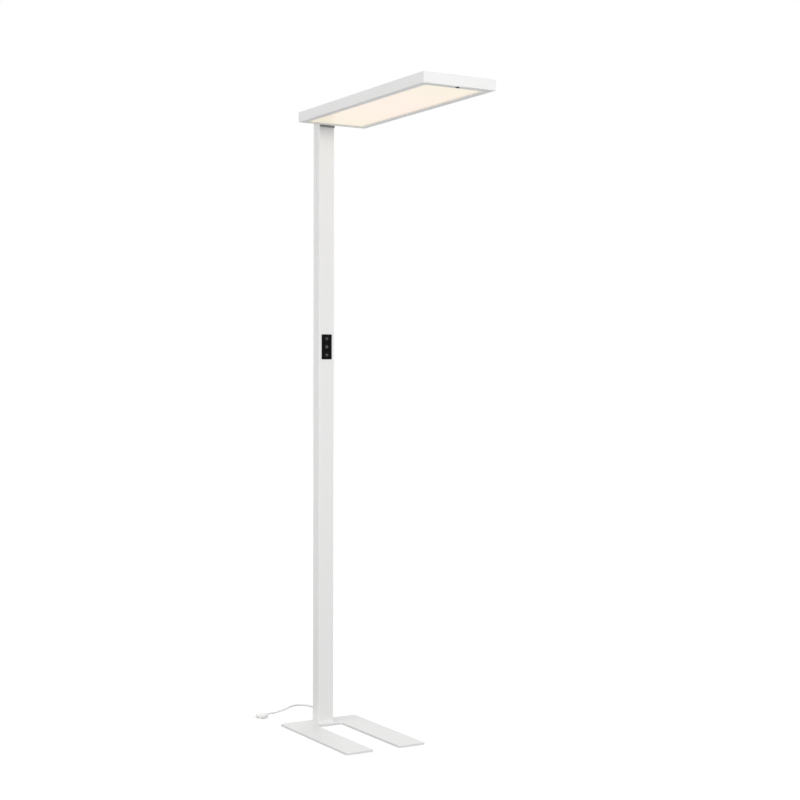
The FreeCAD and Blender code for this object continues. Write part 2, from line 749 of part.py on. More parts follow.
cover_middle = s.head_start + s.head_length / 2
cover_blank = centred_box("cover_sheet", cover_middle, 0.0, cover_bottom,
                          s.head_length - 2 * s.rail_wall - 2 * s.clearance,
                          s.head_width - 2 * s.rail_wall - 2 * s.clearance, s.cover_thickness)
cover_sink = (s.cover_screw_head - s.cover_screw_size) / 2
cover_cuts = []
for tag, x, y in post_places:
    hole = s.cover_screw_size + 2 * s.clearance
    cover_cuts.append(cylinder("cover_hole_" + tag, hole, s.cover_thickness + 2, x, y,
                               cover_bottom - 1))
    cover_cuts.append(cone("cover_sink_" + tag, hole, s.cover_screw_head + 2 * s.clearance,
                           cover_sink, x, y, cover_top - cover_sink))
keep(cut("cover_drilled", cover_blank, cover_cuts), "top_cover")
for tag, x, y in post_places:
    screw = turned("cover_screw_blank_" + tag, [
        (-s.cover_screw_length, 0.0), (-s.cover_screw_length, s.cover_screw_size / 2),
        (-cover_sink, s.cover_screw_size / 2), (0.0, s.cover_screw_head / 2), (0.0, 0.0)], "Z")
    place(screw, x, y, cover_top)
    keep(screw, "cover_screw_" + tag)

keep(centred_box("sensor_box", sensor_x, 0.0, lip_top, s.sensor_case_length,
                 s.sensor_case_width, s.sensor_case_height), "sensor_case")
lens_radius = s.sensor_lens_diameter / 2
lens = turned("sensor_lens_blank", [
    (-s.sensor_lens_stand, 0.0), (-s.sensor_lens_stand, lens_radius * 0.7),
    (-s.sensor_lens_stand * 0.4, lens_radius * 0.93), (0.0, lens_radius),
    (s.lip_thickness, lens_radius), (s.lip_thickness, 0.0)], "Z")
place(lens, sensor_x, 0.0, head_bottom)
keep(lens, "sensor_lens")

# ---- control panel ---------------------------------------------------------------------------

face = body("panel_body")
pad(face, "panel_face", rectangle(s.panel_width, s.panel_length), s.panel_stand,
    plane="YZ_Plane")
round_edges(face, "panel_corners", s.panel_corner, lambda e: runs_along(e, "x"))
place(face, column_front, 0.0, s.panel_height)
collar = centred_box("panel_collar", case_front + s.collar_depth / 2, 0.0,
                     s.panel_height - s.collar_length / 2, s.collar_depth, s.collar_width,
                     s.collar_length)
collar_inner_length = s.collar_length - 2 * s.collar_wall
bezel_cuts = [centred_box("panel_collar_inner", case_front + s.collar_depth / 2 - 0.5, 0.0,
                          s.panel_height - collar_inner_length / 2, s.collar_depth + 1,
                          s.collar_width - 2 * s.collar_wall, collar_inner_length)]
button_places = [("up", s.panel_height + s.button_pitch), ("power", s.panel_height),
                 ("down", s.panel_height - s.button_pitch)]
for tag, z in button_places:
    bezel_cuts.append(cylinder("panel_hole_" + tag, s.button_diameter + 2 * s.button_gap,
                               s.panel_stand + 2, column_front - 1, 0.0, z, "X"))
keep(cut("panel_cut", fuse("panel_with_collar", [face, collar]), bezel_cuts), "control_bezel")

case_back = case_front - s.case_depth
case_inner_width = s.collar_width - 2 * s.case_wall
case_inner_length = s.collar_length - 2 * s.case_wall
board_back = case_front - s.control_board_thickness
case = cut("case_shell", centred_box("case_outer", case_front - s.case_depth / 2, 0.0,
                                     s.panel_height - s.collar_length / 2, s.case_depth,
                                     s.collar_width, s.collar_length), [
    centred_box("case_inner", case_front - s.case_depth / 2 + s.case_wall / 2 + 0.5, 0.0,
                s.panel_height - case_inner_length / 2, s.case_depth - s.case_wall + 1,
                case_inner_width, case_inner_length)])
case_parts = [case]
for tag_y, sign_y in (("left", -1), ("right", 1)):
    for tag_z, sign_z in (("low", -1), ("high", 1)):
        case_parts.append(cylinder("case_post_%s_%s" % (tag_y, tag_z), s.case_post_diameter,
                                   board_back - case_back - s.case_wall / 2,
                                   case_back + s.case_wall / 2,
                                   (case_inner_width / 2 - s.case_post_inset) * sign_y,
                                   s.panel_height
                                   + (case_inner_length / 2 - s.case_post_inset) * sign_z,
                                   "X"))
keep(fuse("case_with_posts", case_parts), "control_case")
keep(centred_box("board_sheet", (board_back + case_front) / 2, 0.0,
                 s.panel_height - case_inner_length / 2 + s.clearance,
                 s.control_board_thickness, case_inner_width - 2 * s.clearance,
                 case_inner_length - 2 * s.clearance), "control_board")

switch_tip = case_front + s.switch_height + s.switch_plunger_height
for tag, z in button_places:
    keep(fuse("switch_blank_" + tag, [
        centred_box("switch_case_" + tag, case_front + s.switch_height / 2, 0.0,
                    z - s.switch_size / 2, s.switch_height, s.switch_size, s.switch_size),
        cylinder("switch_plunger_" + tag, s.switch_plunger,
                 s.switch_plunger_height + s.switch_height / 2,
                 case_front + s.switch_height / 2, 0.0, z, "X")]), "switch_" + tag)

stem_back = switch_tip + s.button_travel + s.clearance
flange_face = column_front - s.clearance
button_face = column_front + s.panel_stand + s.button_stand
button_radius = s.button_diameter / 2
for tag, z in button_places:
    button = turned("button_blank_" + tag, [
        (stem_back - flange_face, 0.0), (stem_back - flange_face, s.button_stem / 2),
        (-s.button_flange_thickness, s.button_stem / 2),
        (-s.button_flange_thickness, s.button_flange / 2), (0.0, s.button_flange / 2),
        (0.0, button_radius), (button_face - flange_face - 0.4, button_radius),
        (button_face - flange_face, button_radius - 0.4), (button_face - flange_face, 0.0)],
        "X")
    place(button, flange_face, 0.0, z)
    keep(button, "button_" + tag)

# ---- cable gland and the leads inside ----------------------------------------------------------

gland_out = s.gland_collar_thickness + s.gland_sleeve
gland = turned("gland_blank", [
    (-gland_out, 0.0), (-gland_out, s.gland_sleeve_tip / 2),
    (-s.gland_collar_thickness, s.gland_sleeve_tip / 2 + 0.9),
    (-s.gland_collar_thickness, s.gland_collar / 2 - 0.8),
    (0.8 - s.gland_collar_thickness, s.gland_collar / 2), (0.0, s.gland_collar / 2),
    (0.0, s.gland_hole / 2), (s.column_wall + 0.1, s.gland_hole / 2),
    (s.column_wall + 0.1, s.gland_hole / 2 + 0.7),
    (s.column_wall + s.gland_inside, s.gland_hole / 2 - 0.6),
    (s.column_wall + s.gland_inside, 0.0)], "X")
place(gland, column_rear, 0.0, s.gland_height)
keep(gland, "cable_gland")


def tangent_arc(start, start_way, end):
    """The arc that leaves start along start_way and ends at end, or a line if they agree."""
    chord = end - start
    chord_way = Vector(chord).normalize()
    if chord_way.getAngle(start_way) < 1e-5:
        return Part.LineSegment(start, end).toShape()
    way = (start_way + chord_way).normalize()
    middle = start + way * (chord.Length / (2 * way.dot(chord_way)))
    return Part.Arc(start, middle, end).toShape()


def tube(edges, diameter):
    wire = Part.Wire(edges)
    first = edges[0]
    start = first.valueAt(first.FirstParameter)
    way = first.tangentAt(first.FirstParameter)
    ring = Part.Wire([Part.Circle(start, way, diameter / 2).toShape()])
    shape = wire.makePipeShell([ring], True, False)
    if shape.ShapeType != "Solid":
        shape = shape.Solids[0]
    ideal = math.pi * diameter ** 2 / 4 * wire.Length
    print("tube %.1f mm long, volume %.5f of the ideal" % (wire.Length, shape.Volume / ideal))
    return shape, wire.Length


def route(points, radii=None):
    """Straight runs joined by tangent arcs; an arc is as large as its two runs allow."""
    edges = []
    shown = []
    start = points[0]
    for i in range(1, len(points) - 1):
        before = points[i] - points[i - 1]
        after = points[i + 1] - points[i]
        half_turn = before.getAngle(after) / 2
        reach = 0.45 * min(before.Length, after.Length)
        if radii:
            reach = radii[i - 1] * math.tan(half_turn)
        shown.append(reach / math.tan(half_turn))
        enter = points[i] - Vector(before).normalize() * reach
        leave = points[i] + Vector(after).normalize() * reach
        edges.append(Part.LineSegment(start, enter).toShape())
        edges.append(tangent_arc(enter, Vector(before).normalize(), leave))
        start = leave
    edges.append(Part.LineSegment(start, points[-1]).toShape())
    print("bend radii", " ".join("%.1f" % radius for radius in shown))
    return edges


def solid_piece(label, shape, placement=None):
    obj = doc.addObject("Part::Feature", label + "_solid")
    obj.Shape = shape
    if placement is not None:
        obj.Placement = placement
    return keep(obj, label)


lead_x = lead_line.value
gland_z = s.gland_height.value
neck_z = neck_axis.value
case_low = s.panel_height.value - s.collar_length.value / 2
case_high = s.panel_height.value + s.collar_length.value / 2
gland_inner = column_rear.value + s.column_wall.value + s.gland_inside.value
solid_piece("lead_lower", tube(route([
    Vector(gland_inner, 0, gland_z), Vector(lead_x, 0, gland_z), Vector(lead_x, 0, case_low)],
    [s.lead_bend.value]), s.lead_diameter.value)[0])
solid_piece("lead_upper", tube(route([
    Vector(lead_x, 0, case_high), Vector(lead_x, 0, neck_z),
    Vector(terminal_near.value, 0, neck_z)], [s.lead_top_bend.value]),
    s.lead_diameter.value)[0])

# ---- mains cord --------------------------------------------------------------------------------

cord = s.cord_diameter.value
step = s.hank_pitch.value
tie = s.tie_thickness.value
slack = s.clearance.value
angle = math.radians(s.hank_angle.value)
ALONG = Vector(-math.cos(angle), math.sin(angle), 0)
ACROSS = Vector(math.sin(angle), math.cos(angle), 0)


def floor_place(along, across, height):
    """A place behind the column: along and across the hank's line, and above the floor."""
    return ALONG * along + ACROSS * across + Vector(0, 0, height)


# The hank: loops that lie the same way in four layers of two, drawn in at the waist. Each
# offset is half a loop's width; A runs lead away from the column and B runs come back.
offsets = [s.hank_inner.value + step * i / 2 for i in range(5)]
shift = (offsets[3] - offsets[4]) / 2
levels = [tie + slack + cord / 2 + step * i for i in range(4)]
near_turn = s.hank_start.value
far_turn = near_turn + s.hank_run.value
waist = (near_turn + far_turn) / 2
A_RUN, B_RUN = -1, 1
hank_runs = []
for level, order in ((3, (3, 2, 1, 0)), (2, (1, 2, 3, 4)), (1, (3, 2, 1, 0)), (0, (1, 2, 3))):
    for turn_number, k in enumerate(order):
        side = A_RUN if turn_number % 2 == 0 else B_RUN
        end_level = level - 1 if turn_number == 3 else level
        hank_runs.append((side, offsets[k], levels[level], levels[end_level]))

knots = [(floor_place(near_turn - cord, shift - hank_runs[0][1], hank_runs[0][2]), ALONG)]
for i, (side, offset, start_level, end_level) in enumerate(hank_runs):
    way = ALONG if side == A_RUN else -ALONG
    start, end = (near_turn, far_turn) if side == A_RUN else (far_turn, near_turn)
    knots.append((floor_place(start, shift + side * offset, start_level), way))
    knots.append((floor_place(waist, shift + side * (offset - s.hank_waist.value),
                              (start_level + end_level) / 2), way))
    knots.append((floor_place(end, shift + side * offset, end_level), way))
    if i + 1 < len(hank_runs):
        following = hank_runs[i + 1][1]
        radius = (offset + following) / 2
        centre = shift + side * (offset - following) / 2
        top = end + radius if side == A_RUN else end - radius
        knots.append((floor_place(top, centre, end_level), ACROSS * -side))
knots.append((floor_place(far_turn + cord, shift - hank_runs[-1][1], hank_runs[-1][3]), ALONG))


def biarc(start, start_way, end, end_way):
    """Two arcs that join two places and ways smoothly."""
    gap = end - start
    if Vector(gap).normalize().getAngle(start_way) < 1e-6:
        return [Part.LineSegment(start, end).toShape()]
    ways = start_way + end_way
    fold = 2 * (1 - start_way.dot(end_way))
    if fold < 1e-9:
        reach = gap.dot(gap) / (4 * gap.dot(end_way))
    else:
        reach = (math.sqrt(gap.dot(ways) ** 2 + fold * gap.dot(gap)) - gap.dot(ways)) / fold
    joint = (start + end + (start_way - end_way) * reach) * 0.5
    first = tangent_arc(start, start_way, joint)
    joint_way = first.tangentAt(first.LastParameter)
    return [first, tangent_arc(joint, joint_way, end)]


hank_edges = []
for (start, start_way), (end, end_way) in zip(knots, knots[1:]):
    hank_edges.extend(biarc(start, start_way, end, end_way))
hank_shape, hank_length = tube(hank_edges, cord)


def least_gap(edges, diameter, spacing=2.0):
    """Least distance from the tube's surface to itself, a few diameters further along."""
    points = []
    travelled = 0.0
    for edge in edges:
        count = max(2, int(edge.Length / spacing) + 1)
        for j in range(count):
            at = edge.getParameterByLength(edge.Length * j / count)
            points.append((travelled + edge.Length * j / count, edge.valueAt(at)))
        travelled += edge.Length
    least = 1e9
    for i, (first_at, first_point) in enumerate(points):
        for second_at, second_point in points[i + 1:]:
            if second_at - first_at > 4 * diameter:
                least = min(least, first_point.distanceToPoint(second_point))
    return least - diameter


print("hank: %.0f mm of cord, least gap to itself %.2f mm" % (
    hank_length, least_gap(hank_edges, cord)))
solid_piece("cord_hank", hank_shape)

gland_tip = Vector(column_rear.value - gland_out.value, 0, gland_z)
entry = knots[0][0]
lead_in = [gland_tip, gland_tip + Vector(-12.0, 0, 0),
           entry + ALONG * -31.4 + ACROSS * -0.9 + Vector(0, 0, 6.8),
           entry + ALONG * -14.2, entry]
out_shape, out_length = tube(route(lead_in), cord)
solid_piece("cord_from_gland", out_shape)

exit_place = knots[-1][0]
on_floor = cord / 2
plug_axis = s.plug_height.value / 2
floor_points = [exit_place, exit_place + ALONG * 17.0]
for along, across, height in ((226.4, -28.8, on_floor + 0.3), (241.8, -35.3, on_floor),
                              (256.6, -43.5, on_floor), (269.6, -54.0, on_floor),
                              (276.2, -69.4, on_floor), (275.0, -86.5, on_floor),
                              (265.8, -101.0, on_floor), (248.8, -110.5, on_floor),
                              (231.5, -118.0, on_floor), (211.5, -127.0, on_floor),
                              (191.5, -138.0, on_floor), (171.5, -151.0, on_floor),
                              (152.5, -164.5, on_floor)):
    floor_points.append(floor_place(along, across, height))
plug_tip = floor_place(122.0, -181.0, plug_axis)
plug_way = floor_place(-0.866, -0.5, 0)
floor_points.append(plug_tip - plug_way * 14.0)
floor_points.append(plug_tip)
floor_shape, floor_length = tube(route(floor_points), cord)
solid_piece("cord_on_floor", floor_shape)
print("mains cord %.0f mm in all" % (out_length + hank_length + floor_length))

tie_half = offsets[3] - shift - s.hank_waist.value + cord / 2 + slack
tie_top = levels[3] + cord / 2 + slack
tie_outer = Part.makeBox(s.tie_width.value, 2 * (tie_half + tie), tie_top + tie,
                         Vector(-s.tie_width.value / 2, -tie_half - tie, 0))
tie_outer = tie_outer.makeFillet(2.4, [e for e in tie_outer.Edges if runs_along(e, "x")])
tie_inner = Part.makeBox(s.tie_width.value + 2, 2 * tie_half, tie_top - tie,
                         Vector(-s.tie_width.value / 2 - 1, -tie_half, tie))
tie_inner = tie_inner.makeFillet(1.6, [e for e in tie_inner.Edges if runs_along(e, "x")])
tie_placement = FreeCAD.Placement(floor_place(waist, 0, 0),
                                  FreeCAD.Rotation(Vector(1, 0, 0), ALONG))
solid_piece("hank_tie", tie_outer.cut(tie_inner), tie_placement)

# plug: a flat two-pin plug that lies on the floor at the cord's end
shell = body("plug_body_blank")
half_back = s.plug_back_width / 2
half_plug = s.plug_width / 2
plug_front = s.plug_sleeve_length + s.plug_length
pad(shell, "plug_block", [
    (s.plug_sleeve_length, -half_back), (s.plug_sleeve_length + s.plug_taper, -half_plug),
    (plug_front, -half_plug), (plug_front, half_plug),
    (s.plug_sleeve_length + s.plug_taper, half_plug), (s.plug_sleeve_length, half_back)],
    s.plug_height)
round_edges(shell, "plug_rounding", s.plug_edge_round,
            lambda e: near(e.Vertexes[0].Z, e.Vertexes[-1].Z)
            and min(v.X for v in e.Vertexes) < plug_front.value - 1)
sleeve = cone("plug_sleeve", s.plug_sleeve_tip, s.plug_sleeve_diameter,
              s.plug_sleeve_length + 1, 0.0, 0.0, s.plug_height / 2, "X")
plug = fuse("plug_fused", [shell, sleeve])
plug_turn = FreeCAD.Rotation(Vector(1, 0, 0), plug_way)
plug_place = FreeCAD.Placement(Vector(plug_tip.x, plug_tip.y, 0), plug_turn)
plug.Placement = plug_place
keep(plug, "plug_body")
for tag, sign in (("left", -1), ("right", 1)):
    pin = turned("plug_pin_blank_" + tag, [
        (0.0, 0.0), (0.0, s.pin_diameter / 2), (s.pin_length - 1, s.pin_diameter / 2),
        (s.pin_length, s.pin_diameter / 2 - 1), (s.pin_length, 0.0)], "X")
    seat = Vector(plug_front.value, s.pin_spacing.value * sign / 2, plug_axis)
    pin.Placement = plug_place.multiply(FreeCAD.Placement(seat, FreeCAD.Rotation()))
    keep(pin, "plug_pin_" + tag)

# ---- check and write ---------------------------------------------------------------------------

doc.recompute()
faults = [obj.Name for obj in doc.Objects
          if any(state in ("Invalid", "Error") for state in obj.State)]
for label, obj in nodes.items():
    if obj.Shape.isNull() or not obj.Shape.isValid() or len(obj.Shape.Solids) != 1:
        faults.append(label)
if faults:
    raise RuntimeError("faulty objects: " + ", ".join(faults))
os.makedirs("parts", exist_ok=True)
for label, obj in nodes.items():
    obj.Shape.exportStep("parts/%s.step" % label)
print("%d pieces written" % len(nodes))
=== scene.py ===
import json
import math

import bmesh
import bpy
from mathutils import Matrix, Vector


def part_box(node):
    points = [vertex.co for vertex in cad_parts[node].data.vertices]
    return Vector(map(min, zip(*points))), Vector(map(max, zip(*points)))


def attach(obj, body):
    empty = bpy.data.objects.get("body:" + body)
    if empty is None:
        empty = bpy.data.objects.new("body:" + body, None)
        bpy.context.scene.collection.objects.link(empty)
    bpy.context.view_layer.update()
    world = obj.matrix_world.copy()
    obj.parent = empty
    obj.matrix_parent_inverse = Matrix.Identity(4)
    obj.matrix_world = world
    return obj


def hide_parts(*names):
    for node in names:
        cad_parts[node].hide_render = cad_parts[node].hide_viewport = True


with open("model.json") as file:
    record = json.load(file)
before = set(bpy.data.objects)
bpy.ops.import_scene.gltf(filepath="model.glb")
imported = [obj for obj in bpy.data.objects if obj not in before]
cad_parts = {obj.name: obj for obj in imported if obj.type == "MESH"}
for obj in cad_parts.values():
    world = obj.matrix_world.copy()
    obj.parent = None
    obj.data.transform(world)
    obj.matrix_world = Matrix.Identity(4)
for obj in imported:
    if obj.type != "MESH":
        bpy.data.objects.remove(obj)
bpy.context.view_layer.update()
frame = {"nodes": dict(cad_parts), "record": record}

scene = bpy.context.scene
scene.view_settings.view_transform = "Standard"


def addObject(name, data):
    made = bpy.data.objects.new(name, data)
    scene.collection.objects.link(made)
    return made


# camera, as the photograph was taken: level, with a slight roll
cameraSet = {
    "place": (4.3620, -2.2764, 1.1090),
    "heading": 30.4302,     # degrees from the YZ plane to the line of sight
    "roll": 0.0909,
    "lens": 68.655,
    "shiftY": -0.02558,
    "sensor": 36,
    "nearest": 0.05,
    "furthest": 200,
}


def makeCamera():
    turn, roll = math.radians(cameraSet["heading"]), math.radians(cameraSet["roll"])
    right = Vector((math.sin(turn), math.cos(turn), 0))
    ahead = Vector((-math.cos(turn), math.sin(turn), 0))
    up = Vector((0, 0, 1))
    sideways = right * math.cos(roll) + up * math.sin(roll)
    upwards = up * math.cos(roll) - right * math.sin(roll)
    data = bpy.data.cameras.new("camera")
    data.sensor_width = cameraSet["sensor"]
    data.lens = cameraSet["lens"]
    data.shift_y = cameraSet["shiftY"]
    data.clip_start, data.clip_end = cameraSet["nearest"], cameraSet["furthest"]
    camera = addObject("camera", data)
    axes = Matrix((sideways, upwards, -ahead)).transposed().to_4x4()
    camera.matrix_world = Matrix.Translation(cameraSet["place"]) @ axes
    scene.camera = camera


makeCamera()
print("camera placed")


# shader graphs: a wire takes plain arithmetic, and the graph adds the nodes
class Wire:
    def __init__(self, graph, socket):
        self.graph, self.socket = graph, socket

    def math(self, operation, *others, clamp=False):
        return self.graph.node("ShaderNodeMath", {"operation": operation, "use_clamp": clamp},
                               (self,) + others)

    def flipped(self, operation, other):
        return self.graph.node("ShaderNodeMath", {"operation": operation}, (other, self))

    def __add__(self, other):
        return self.math("ADD", other)

    def __sub__(self, other):
        return self.math("SUBTRACT", other)

    def __rsub__(self, other):
        return self.flipped("SUBTRACT", other)

    def __mul__(self, other):
        return self.math("MULTIPLY", other)

    def __truediv__(self, other):
        return self.math("DIVIDE", other)

    def __rtruediv__(self, other):
        return self.flipped("DIVIDE", other)

    def __gt__(self, other):
        return self.math("GREATER_THAN", other)

    def __lt__(self, other):
        return self.math("LESS_THAN", other)

    def __pow__(self, other):
        return self.math("POWER", other)

    def __abs__(self):
        return self.math("ABSOLUTE")

    __radd__ = __add__
    __rmul__ = __mul__

    def clamped(self):
        return self.math("ADD", 0.0, clamp=True)


class Graph:
    def __init__(self, tree):
        self.tree = tree

    def node(self, kind, settings=None, values=(), output=0):
        made = self.tree.nodes.new(kind)
        for name, value in (settings or {}).items():
            setattr(made, name, value)
        for key, value in (values.items() if isinstance(values, dict) else enumerate(values)):
            if isinstance(value, Wire):
                self.tree.links.new(value.socket, made.inputs[key])
            else:
                made.inputs[key].default_value = value
        return Wire(self, made.outputs[output])

    def place(self, output="Object"):
        return self.node("ShaderNodeTexCoord", output=output)

    def axes(self):
        split = self.node("ShaderNodeSeparateXYZ", values=(self.place(),)).socket.node
        return [Wire(self, socket) for socket in split.outputs]

    def noise(self, size, detail=2.0, vector=None, rough=0.5):
        return self.node("ShaderNodeTexNoise", values={
            "Vector": vector or self.place(), "Scale": 1 / size, "Detail": detail,
            "Roughness": rough})

    def mix(self, mask, first, second):
        values = {0: mask, 6: first, 7: second}
        return self.node("ShaderNodeMix", {"data_type": "RGBA"}, values, output=2)

    def bump(self, height, depth, strength):
        return self.node("ShaderNodeBump", values={
            "Height": height, "Distance": depth, "Strength": strength}, output="Normal")

    # 1 for a ray from the camera, mirrored or let through, and 0 for one that only brings light
    def shownRays(self):
        seen, mirrored, passed = [
            self.node("ShaderNodeLightPath", output="Is %s Ray" % kind)
            for kind in ("Camera", "Glossy", "Transmission")]
        return (seen + mirrored + passed).clamped()


def opaque(colour):
    return tuple(colour) + (1.0,)


def newMaterial(name, colour, roughness, fixed=()):
    material = bpy.data.materials.new(name)
    material.use_nodes = True
    shader = material.node_tree.nodes["Principled BSDF"]
    shader.inputs["Base Color"].default_value = opaque(colour)
    shader.inputs["Roughness"].default_value = roughness
    for socket, value in dict(fixed).items():
        shader.inputs[socket].default_value = value
    material.diffuse_color = opaque(colour)
    return material, Graph(material.node_tree), shader


def feed(shader, **wires):
    for name, wire in wires.items():
        shader.id_data.links.new(wire.socket, shader.inputs[name.replace("_", " ")])


def shade(colour, factor):
    return opaque([min(1.0, part * factor) for part in colour])


# fine orange peel with a finer grain, as an oven-cured coat has
coatLook = {"peel": 0.0011, "grain": 0.00035, "cloud": 0.09, "fleck": 0.0006,
            "depth": 0.00003, "strength": 0.6, "speckle": 0.22, "uneven": 0.015,
            "grainTone": 0.94, "fleckShift": 0.05, "cloudShift": 0.06,
            "peelShare": 0.8, "grainShare": 0.35}


def powderCoat(name, colour, roughness=0.45):
    look = coatLook
    material, graph, shader = newMaterial(name, colour, roughness)
    peel = graph.noise(look["peel"], 2.0)
    grain = graph.noise(look["grain"], 2.0)
    cloud = graph.noise(look["cloud"], 3.0)
    tone = graph.mix(cloud, shade(colour, 1 - look["uneven"]), shade(colour, 1 + look["uneven"]))
    fleck = (graph.noise(look["fleck"], 1.0) - 0.5) * look["fleckShift"]
    speckle = (grain * look["speckle"]).clamped()
    feed(shader, Base_Color=graph.mix(speckle, tone, shade(colour, look["grainTone"])),
         Roughness=fleck + roughness + (cloud - 0.5) * look["cloudShift"],
         Normal=graph.bump(peel * look["peelShare"] + grain * look["grainShare"],
                           look["depth"], look["strength"]))
    return material


# moulded plastic: a spark-eroded grain, with slight flow marks
mouldLook = {"flow": 0.02, "uneven": 0.04, "strength": 0.7, "fineShift": 0.12, "flowShift": 0.06}


def moulded(name, colour, roughness, grain=0.0005, depth=0.00002, sheen=0.5):
    look = mouldLook
    material, graph, shader = newMaterial(name, colour, roughness, {"Specular IOR Level": sheen})
    fine = graph.noise(grain, 3.0, rough=0.6)
    flow = graph.noise(look["flow"], 2.0)
    dull, clear = shade(colour, 1 - look["uneven"]), shade(colour, 1 + look["uneven"])
    feed(shader, Base_Color=graph.mix(flow, dull, clear),
         Roughness=(fine - 0.5) * look["fineShift"] + (flow - 0.5) * look["flowShift"] + roughness,
         Normal=graph.bump(fine, depth, look["strength"]))
    return material


# bare or plated metal with faint tool marks, as long as grain says along each axis, and stains
metalLook = {"stain": 0.006, "dark": 0.9, "light": 1.05, "markShift": 0.2, "stainShift": 0.1,
             "depth": 0.00001, "strength": 0.5}


def metal(name, colour, roughness, grain=(0.0004, 0.0004, 0.0004)):
    look = metalLook
    material, graph, shader = newMaterial(name, colour, roughness, {"Metallic": 1.0})
    stretched = graph.node("ShaderNodeMapping", values={
        "Vector": graph.place(), "Scale": [1 / size for size in grain]})
    marks = graph.noise(1.0, 3.0, vector=stretched)
    stain = graph.noise(look["stain"], 3.0)
    feed(shader,
         Base_Color=graph.mix(stain, shade(colour, look["dark"]), shade(colour, look["light"])),
         Roughness=(marks - 0.5) * look["markShift"] + (stain - 0.5) * look["stainShift"] + roughness,
         Normal=graph.bump(marks, look["depth"], look["strength"]))
    return material


# opal sheet lit from behind: pinker in the middle, yellower at the ends, a little dimmer at the rim
opalLook = {
    "colour": (0.55, 0.53, 0.50),
    "middle": (0.54, 0.425, 0.35),
    "ends": (0.49, 0.445, 0.315),
    "fall": 1.6,            # how late the middle's glow turns into the ends'
    "rim": 0.02,            # width of the dimmer rim
    "rimShare": (0.90, 0.88, 0.84),
    "pearl": 0.0012,
    "pearlShift": 0.08,
    "roughness": 0.38,
    "depth": 0.00002,
    "strength": 0.4,
}


def opalDiffuser(name):
    look = opalLook
    colour, roughness = look["colour"], look["roughness"]
    material, graph, shader = newMaterial(name, colour, roughness, {"Emission Strength": 1.0})
    low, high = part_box("diffuser")
    middle, half = (Vector(low) + Vector(high)) / 2, (Vector(high) - Vector(low)) / 2
    x, y, z = graph.axes()
    along = abs((x - middle.x) / half.x)
    nearEdge = (half.y - abs(y - middle.y)) / look["rim"]
    nearEnd = (1.0 - along) * (half.x / look["rim"])
    rim = nearEdge.math("MINIMUM", nearEnd).clamped()
    glow = graph.mix((along ** look["fall"]).clamped(), opaque(look["middle"]), opaque(look["ends"]))
    dim = graph.mix(rim, opaque(look["rimShare"]), (1, 1, 1, 1))
    lit = graph.node("ShaderNodeMix", {"data_type": "RGBA", "blend_type": "MULTIPLY"},
                     {0: 1.0, 6: glow, 7: dim}, output=2)
    pearl = graph.noise(look["pearl"], 2.0)
    feed(shader, Emission_Color=lit, Roughness=(pearl - 0.5) * look["pearlShift"] + roughness,
         Base_Color=graph.mix(pearl, shade(colour, 0.99), shade(colour, 1.01)),
         Normal=graph.bump(pearl, look["depth"], look["strength"]))
    return material


# solder mask over a faint pattern of copper tracks
boardLook = {"roughness": 0.35, "coat": 0.3, "pitch": 0.0024, "laneShare": 0.35, "patch": 0.006,
             "patchFrom": 0.52, "depth": 0.00003, "strength": 0.6}


def circuitBoard(name, mask, track):
    look = boardLook
    coat = {"Coat Weight": look["coat"]}
    material, graph, shader = newMaterial(name, mask, look["roughness"], coat)
    x, y, z = graph.axes()
    lanes = ((x + y) / look["pitch"]).math("FRACT") < look["laneShare"]
    patches = graph.noise(look["patch"], 1.0) > look["patchFrom"]
    tracks = lanes * patches
    feed(shader, Base_Color=graph.mix(tracks, opaque(mask), opaque(track)),
         Normal=graph.bump(tracks, look["depth"], look["strength"]))
    return material


# nickel-plated pins whose first half wears a white sleeve
pinLook = {"colour": (0.72, 0.69, 0.62), "sleeve": (0.80, 0.80, 0.78), "sleeveReach": 0.0095,
           "roughness": 0.22, "sleeveRoughness": 0.42, "scratch": 0.0005, "scratchShift": 0.1,
           "depth": 0.000008, "strength": 0.5}


def pinMetal(name):
    look = pinLook
    material, graph, shader = newMaterial(name, look["colour"], look["roughness"])
    start = plugAt(plugSizes["sleeveLength"] + plugSizes["length"], 0, 0)
    x, y, z = graph.axes()
    travelled = (x - start.x) * plugWay.x + (y - start.y) * plugWay.y
    bare = travelled > look["sleeveReach"]
    scratches = graph.noise(look["scratch"], 2.0)
    smoother = look["sleeveRoughness"] - look["roughness"]
    feed(shader, Base_Color=graph.mix(bare, opaque(look["sleeve"]), opaque(look["colour"])),
         Metallic=bare,
         Roughness=(look["sleeveRoughness"] - bare * smoother
                    + (scratches - 0.5) * look["scratchShift"]),
         Normal=graph.bump(scratches, look["depth"], look["strength"]))
    return material


# hook-and-loop strap: short loops close together
strapLook = {"loop": 0.0011, "fuzz": 0.0004, "loopShade": 0.82, "loopShadeShare": 0.9, "sheen": 0.3,
             "roughness": 0.85, "leastRoughness": 0.78, "fuzzShift": 0.15, "fuzzShare": 0.5,
             "depth": 0.0003, "strength": 0.8}


def wovenTie(name, colour):
    look = strapLook
    sheen = {"Sheen Weight": look["sheen"]}
    material, graph, shader = newMaterial(name, colour, look["roughness"], sheen)
    loops = graph.node("ShaderNodeTexVoronoi", values={
        "Vector": graph.place(), "Scale": 1 / look["loop"]})
    fuzz = graph.noise(look["fuzz"], 3.0)
    # painted shade: a darker copy of the strap's colour laid over the weave by the loop cells
    loopShade, share = shade(colour, look["loopShade"]), (loops * look["loopShadeShare"]).clamped()
    feed(shader, Base_Color=graph.mix(share, loopShade, opaque(colour)),
         Roughness=fuzz * look["fuzzShift"] + look["leastRoughness"],
         Normal=graph.bump(fuzz * look["fuzzShare"] - loops, look["depth"], look["strength"]))
    return material


